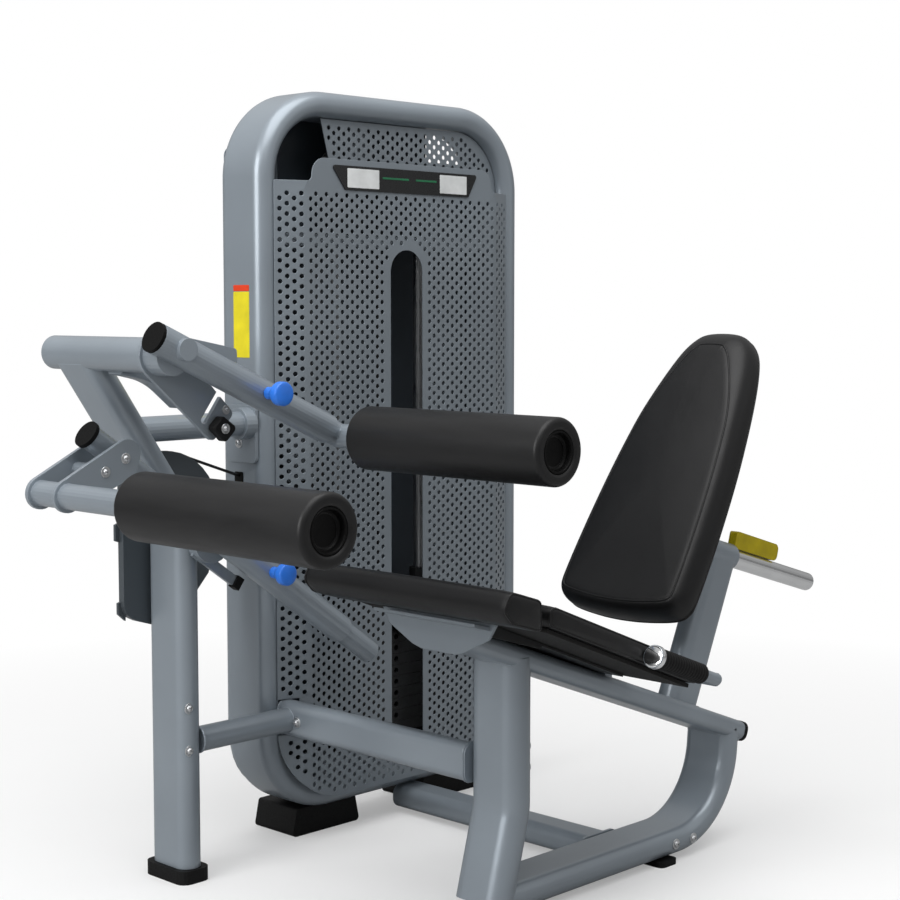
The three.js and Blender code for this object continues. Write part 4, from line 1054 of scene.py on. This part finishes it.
def seat_pad(name, node, profile, flat):
    """A pad sewn from a wrap and two end panels; its side profile is drawn in x and z."""
    lo, hi = local_box(node)
    half = (hi.y - lo.y) / 2
    outline = even_ring(profile, 7.0)
    ends = [(6.5, 0.2), (4.6, 1.4), (2.6, 3.6), (1.6, 6.0), (0.5, 8.5), (0.0, 13.0)]
    wraps = list(np.linspace(20.0, 2 * half - 20.0, 33))
    rings = [[at(x, d - half, z) for x, z in inset(outline, i)] for i, d in ends]
    rings += [[at(x, d - half, z) for x, z in outline] for d in wraps]
    rings += [[at(x, half - d, z) for x, z in inset(outline, i)] for i, d in reversed(ends)]
    seams = [2, len(rings) - 3]
    sewn_pad(name, node, "frame", rings, seams, (-Y, 2.5, 6), (Y, 2.5, 6), flat)


bolster = rounded_outline([(19, 573, 9), (90, 552, 8), (88, 606, 10), (14, 629, 12), (-4, 598, 14)], 15)
seat_pad("front_bolster", "seat_front_pad", bolster, -Z)

SEAT_SLOPE, BOARD, BOARD_HALF = -21.4, 8.0, 226
seat_top, seat_low = (104, 598), (104, 551.5)


def under_seat(along, up):
    """A point along the seat's slope from its low front corner, and up from that line."""
    return polar(*polar(*seat_low, SEAT_SLOPE, along), SEAT_SLOPE + 90, up)


seat_corners = [
    (*seat_top, 12),
    (*under_seat(0, BOARD), 10),
    (*under_seat(426, BOARD), 12),
    (*polar(*seat_top, SEAT_SLOPE, 442), 14),
]
seat_pad("seat_cushion", "seat_rear_pad", rounded_outline(seat_corners, 15), heading(SEAT_SLOPE - 90))
board_corners = rectangle((8, 0.2), (418, BOARD - 0.4), 1.5)
board_outline = rounded_outline([(*under_seat(along, up), r) for along, up, r in board_corners], 30)
plate("seat_board", board_outline, "xz", -BOARD_HALF, BOARD_HALF, 0.8, "plywood")

BACK_X, BACK_Z, RECLINE, BACK_THICK = 610, 486, 33, 70
back_up, back_out = heading(90 - RECLINE), heading(-RECLINE)
half_back = [(0, -17), (60, -14), (122, -4), (144, 12), (150, 44), (146, 171)]
half_back += [(134, 317), (112, 464), (88, 555), (60, 596), (30, 610)]
back_outline = even_ring(spline(half_back + [(-a, b) for a, b in reversed(half_back[1:])], 8), 9.0)
inward = [Vector(q) - Vector(p) for p, q in zip(back_outline, inset(back_outline, 1.0))]


def back_ring(drawn_in, depth, top_extra=0.0):
    """The back pad's outline drawn in by some millimetres, more at its round top."""
    ring = []
    for (a, b), d in zip(back_outline, inward):
        rise = min(1.0, max(0.0, (b - 380) / 230))
        a, b = Vector((a, b)) + d * (drawn_in + top_extra * rise * rise * (3 - 2 * rise))
        ring.append(at(BACK_X, 0, BACK_Z) + (Y * a + back_up * b + back_out * (depth - BACK_THICK)) * MM)
    return ring


# Each level is drawn in, lies at a depth from the rear face and is drawn in more at the round top.
back_levels = [(25, 1.0, 26), (22.5, 1.6, 26), (20, 3.4, 25), (17.5, 3.0, 24), (14, 5.0, 21)]
back_levels += [(10, 8.5, 17), (6.5, 13, 12), (3.5, 19, 8), (1.5, 26, 4), (0.5, 34, 1.5)]
back_levels += [(0.2, 42, 0), (0.4, 50, 0), (1.4, 56, 0), (2.6, 58.5, 0), (3.2, 61, 0)]
back_levels += [(6, 65.5, 0), (11, 68.5, 0), (17, 69.6, 0)]
back_rings = [back_ring(*level) for level in back_levels]
BACK_SEAMS, BACK_SWELL = (2, 13), (4.5, 6.0)
back_ends = (-back_out, 4.0, 12), (back_out, 0.3, 10)
sewn_pad("back_cushion", "back_pad", "back", back_rings, BACK_SEAMS, *back_ends, back_out, *BACK_SWELL)


# ---------------------------------------------------------------- knobs, grips and lever details
def knob(name, node, body):
    lo, hi = local_box(node)
    centre = at((lo.x + hi.x) / 2, hi.y, (lo.z + hi.z) / 2)
    stem = [(0, 0), (10.5, 0), (11, 0.8), (11, 10), (10.2, 11), (10.2, 13), (11.5, 18), (14.5, 23)]
    side = [(18.4, 26.5), (20.6, 29), (21, 31), (21, 40.5), (20.3, 42.6)]
    crown = [(18, 44.2), (12, 45.2), (6, 45.8), (0, 46)]
    piece(name, *lathe(stem + side + crown, centre, -Y, 56), "blue_plastic", body, [node], 40)


knob("lever_pull_knob", "lever_knob", "lever_pin")
knob("thigh_pull_knob", "thigh_knob", "arm_pin")

GRIP_X, GRIP_Z, GRIP_Y, GRIP_SLOPE, RIBS, RIB_PITCH = 346, 481, 265, -20.4, 16, 7.8
grip_x, grip_z = polar(GRIP_X, GRIP_Z, GRIP_SLOPE, 6)
for side, s in (("near", -1), ("far", 1)):
    sleeve = [(11.4, 0), (16.5, 0), (18, 1.5)]
    for k in range(RIBS):
        d = 6 + k * RIB_PITCH
        sleeve += [(18, d), (17.3, d + 1.2), (17.3, d + 2.4), (18, d + 3.6)]
    sleeve += [(18, 131), (16.5, 134), (11.4, 134), (11.4, 0)]
    cap = [(0, -13), (15.5, -13), (19, -11.4), (20.3, -8.5), (20.3, -1), (19, 0.2), (0, 0.2)]
    for name, profile, slot, replaces in (
        ("sleeve", sleeve, "rubber", ["grip_" + side]),
        ("cap", cap, "chrome", ()),
    ):
        shell = lathe(profile, at(grip_x, s * GRIP_Y, grip_z), heading(GRIP_SLOPE), 48)
        piece(f"grip_{name}_{side}", *shell, slot, "frame", replaces, 40)


# ---------------------------------------------------------------- rubber block of the thigh arm's stop
BLOCK_LO, BLOCK_HI = local_box("thigh_arm_bumper")
block_outline = rounded_outline([(-131, 864, 7), (-109, 885, 7), (-77, 862, 7), (-103, 837, 7)])
block_sides = BLOCK_LO.y, BLOCK_HI.y
plate("thigh_stop_block", block_outline, "xz", *block_sides, 2.5, "rubber", "arm", ["thigh_arm_bumper"])


# ---------------------------------------------------------------- fasteners
frame_bolts = Shape()
for x, y, z, axis in (
    (SEAT_POST_X + 31, -30, 300, X),
    (SEAT_POST_X + 31, -30, 262, X),
    (690, -55, 36, -Y),
    (745, -55, 36, -Y),
    (TIE_X - 20, 505, TIE_Z, -X),
    (POST_X - 8, 518, 330, -Y),
    (POST_X - 8, 518, 250, -Y),
    (178 - 7, 624, 806, -X),
):
    bolt(frame_bolts, at(x, y, z), axis, 6.5)
frame_bolts.piece("frame_bolts", "zinc", "frame")

rear_screws = Shape()
for x in (REAR_LO.x + 16, REAR_HI.x - 16):
    for z in np.linspace(REAR_LO.z + 190, REAR_STEP - 40, 5):
        bolt(rear_screws, at(x, REAR_HI.y, z), Y, 4)
rear_screws.piece("rear_sheet_screws", "zinc", "frame")

lever_bolts = Shape()
for x, z in ((-281, 792), (-239.35, 812.6)):
    bolt(lever_bolts, at(x, 423, z), -Y, 5.5)
lever_bolts.piece("carriage_bolts", "zinc", "ankle_slide")

arm_bolts = Shape()
bolt(arm_bolts, at(-105, BLOCK_LO.y, 862), -Y, 5)
bolt(arm_bolts, at(-88, BLOCK_HI.y + 0.3, 893), -Y, 4)
arm_bolts.piece("thigh_arm_bolts", "zinc", "arm")


# ---------------------------------------------------------------- stage, light and camera
def stage_floor():
    mesh = bpy.data.meshes.new("floor")
    s = 30.0
    mesh.from_pydata([(-s, -s, 0), (s, -s, 0), (s, s, 0), (-s, s, 0)], [], [(0, 1, 2, 3)])
    obj = linked("floor", mesh)
    n = Nodes("floor")
    length = n.new("ShaderNodeVectorMath", operation="LENGTH")
    n.link(n.point, length.inputs[0])
    fade = n.remap(length.outputs["Value"], 0.7, 2.6, 0.3, 1.0)
    # Bright to the camera only, so that little light comes up from the floor.
    seen = n.new("ShaderNodeLightPath").outputs["Is Camera Ray"]
    shown = n.new("ShaderNodeMath", operation="MULTIPLY")
    n.link(fade, shown.inputs[0])
    n.link(seen, shown.inputs[1])
    tone = n.shade((0.88, 0.88, 0.88), n.remap(n.noise(3.0), 0.3, 0.7, 0.99, 1.0))
    n.finish(n.mix(seen, (0.42, 0.42, 0.42), tone), 0.6, None, Specular_IOR_Level=0.2)
    glow = n.new("ShaderNodeEmission", Strength=1.0)
    mixer = n.new("ShaderNodeMixShader")
    output = n.tree.nodes["Material Output"]
    n.link(shown.outputs["Value"], mixer.inputs["Fac"])
    n.link(n.shader.outputs["BSDF"], mixer.inputs[1])
    n.link(glow.outputs["Emission"], mixer.inputs[2])
    n.link(mixer.outputs["Shader"], output.inputs["Surface"])
    mesh.materials.append(n.material)


def area_light(name, place, target, size, power):
    data = bpy.data.lights.new(name, "AREA")
    data.shape = "RECTANGLE"
    data.size, data.size_y = size
    data.energy = power
    obj = linked(name, data)
    obj.location = place
    obj.rotation_euler = (Vector(target) - Vector(place)).to_track_quat("-Z", "Y").to_euler()


stage_floor()
area_light("overhead", (-0.6, -0.8, 3.6), (0, 0, 0.6), (3.0, 3.0), 85)
area_light("left_side", (-4.2, 0.2, 2.2), (0, 0, 0.8), (2.4, 2.4), 112)
area_light("right_side", (2.6, -3.6, 2.0), (0.2, 0, 0.7), (2.0, 2.4), 5)


def studio_world():
    """White to the camera; to the object a soft dome, brighter overhead than at the horizon."""
    world = bpy.data.worlds.new("world")
    world.use_nodes = True
    tree = world.node_tree
    background = tree.nodes["Background"]
    background.inputs["Color"].default_value = (1, 1, 1, 1)
    kinds = "TexCoord", "SeparateXYZ", "MapRange", "LightPath", "Mix"
    coords, split, dome, path, seen = (tree.nodes.new("ShaderNode" + kind) for kind in kinds)
    for key, value in (("From Min", -0.1), ("From Max", 0.9), ("To Min", 0.13), ("To Max", 0.72)):
        dome.inputs[key].default_value = value
    seen.inputs["B"].default_value = 1.0
    for source, target in (
        (coords.outputs["Generated"], split.inputs["Vector"]),
        (split.outputs["Z"], dome.inputs["Value"]),
        (path.outputs["Is Camera Ray"], seen.inputs["Factor"]),
        (dome.outputs["Result"], seen.inputs["A"]),
        (seen.outputs["Result"], background.inputs["Strength"]),
    ):
        tree.links.new(source, target)
    bpy.context.scene.world = world


studio_world()
bpy.context.scene.view_settings.view_transform = "Standard"

CAMERA_PLACE, LENS = (-2010, -2080, 1074), 70.8
HEADING, PITCH = math.radians(44.3), math.radians(4.68)
camera_data = bpy.data.cameras.new("camera")
camera_data.sensor_width = 36.0
camera_data.lens = LENS
camera = linked("camera", camera_data)
camera.location = at(*CAMERA_PLACE)
sight = Vector((math.cos(HEADING) * math.cos(PITCH), math.sin(HEADING) * math.cos(PITCH), -math.sin(PITCH)))
camera.rotation_euler = sight.to_track_quat("-Z", "Y").to_euler()
bpy.context.scene.camera = camera
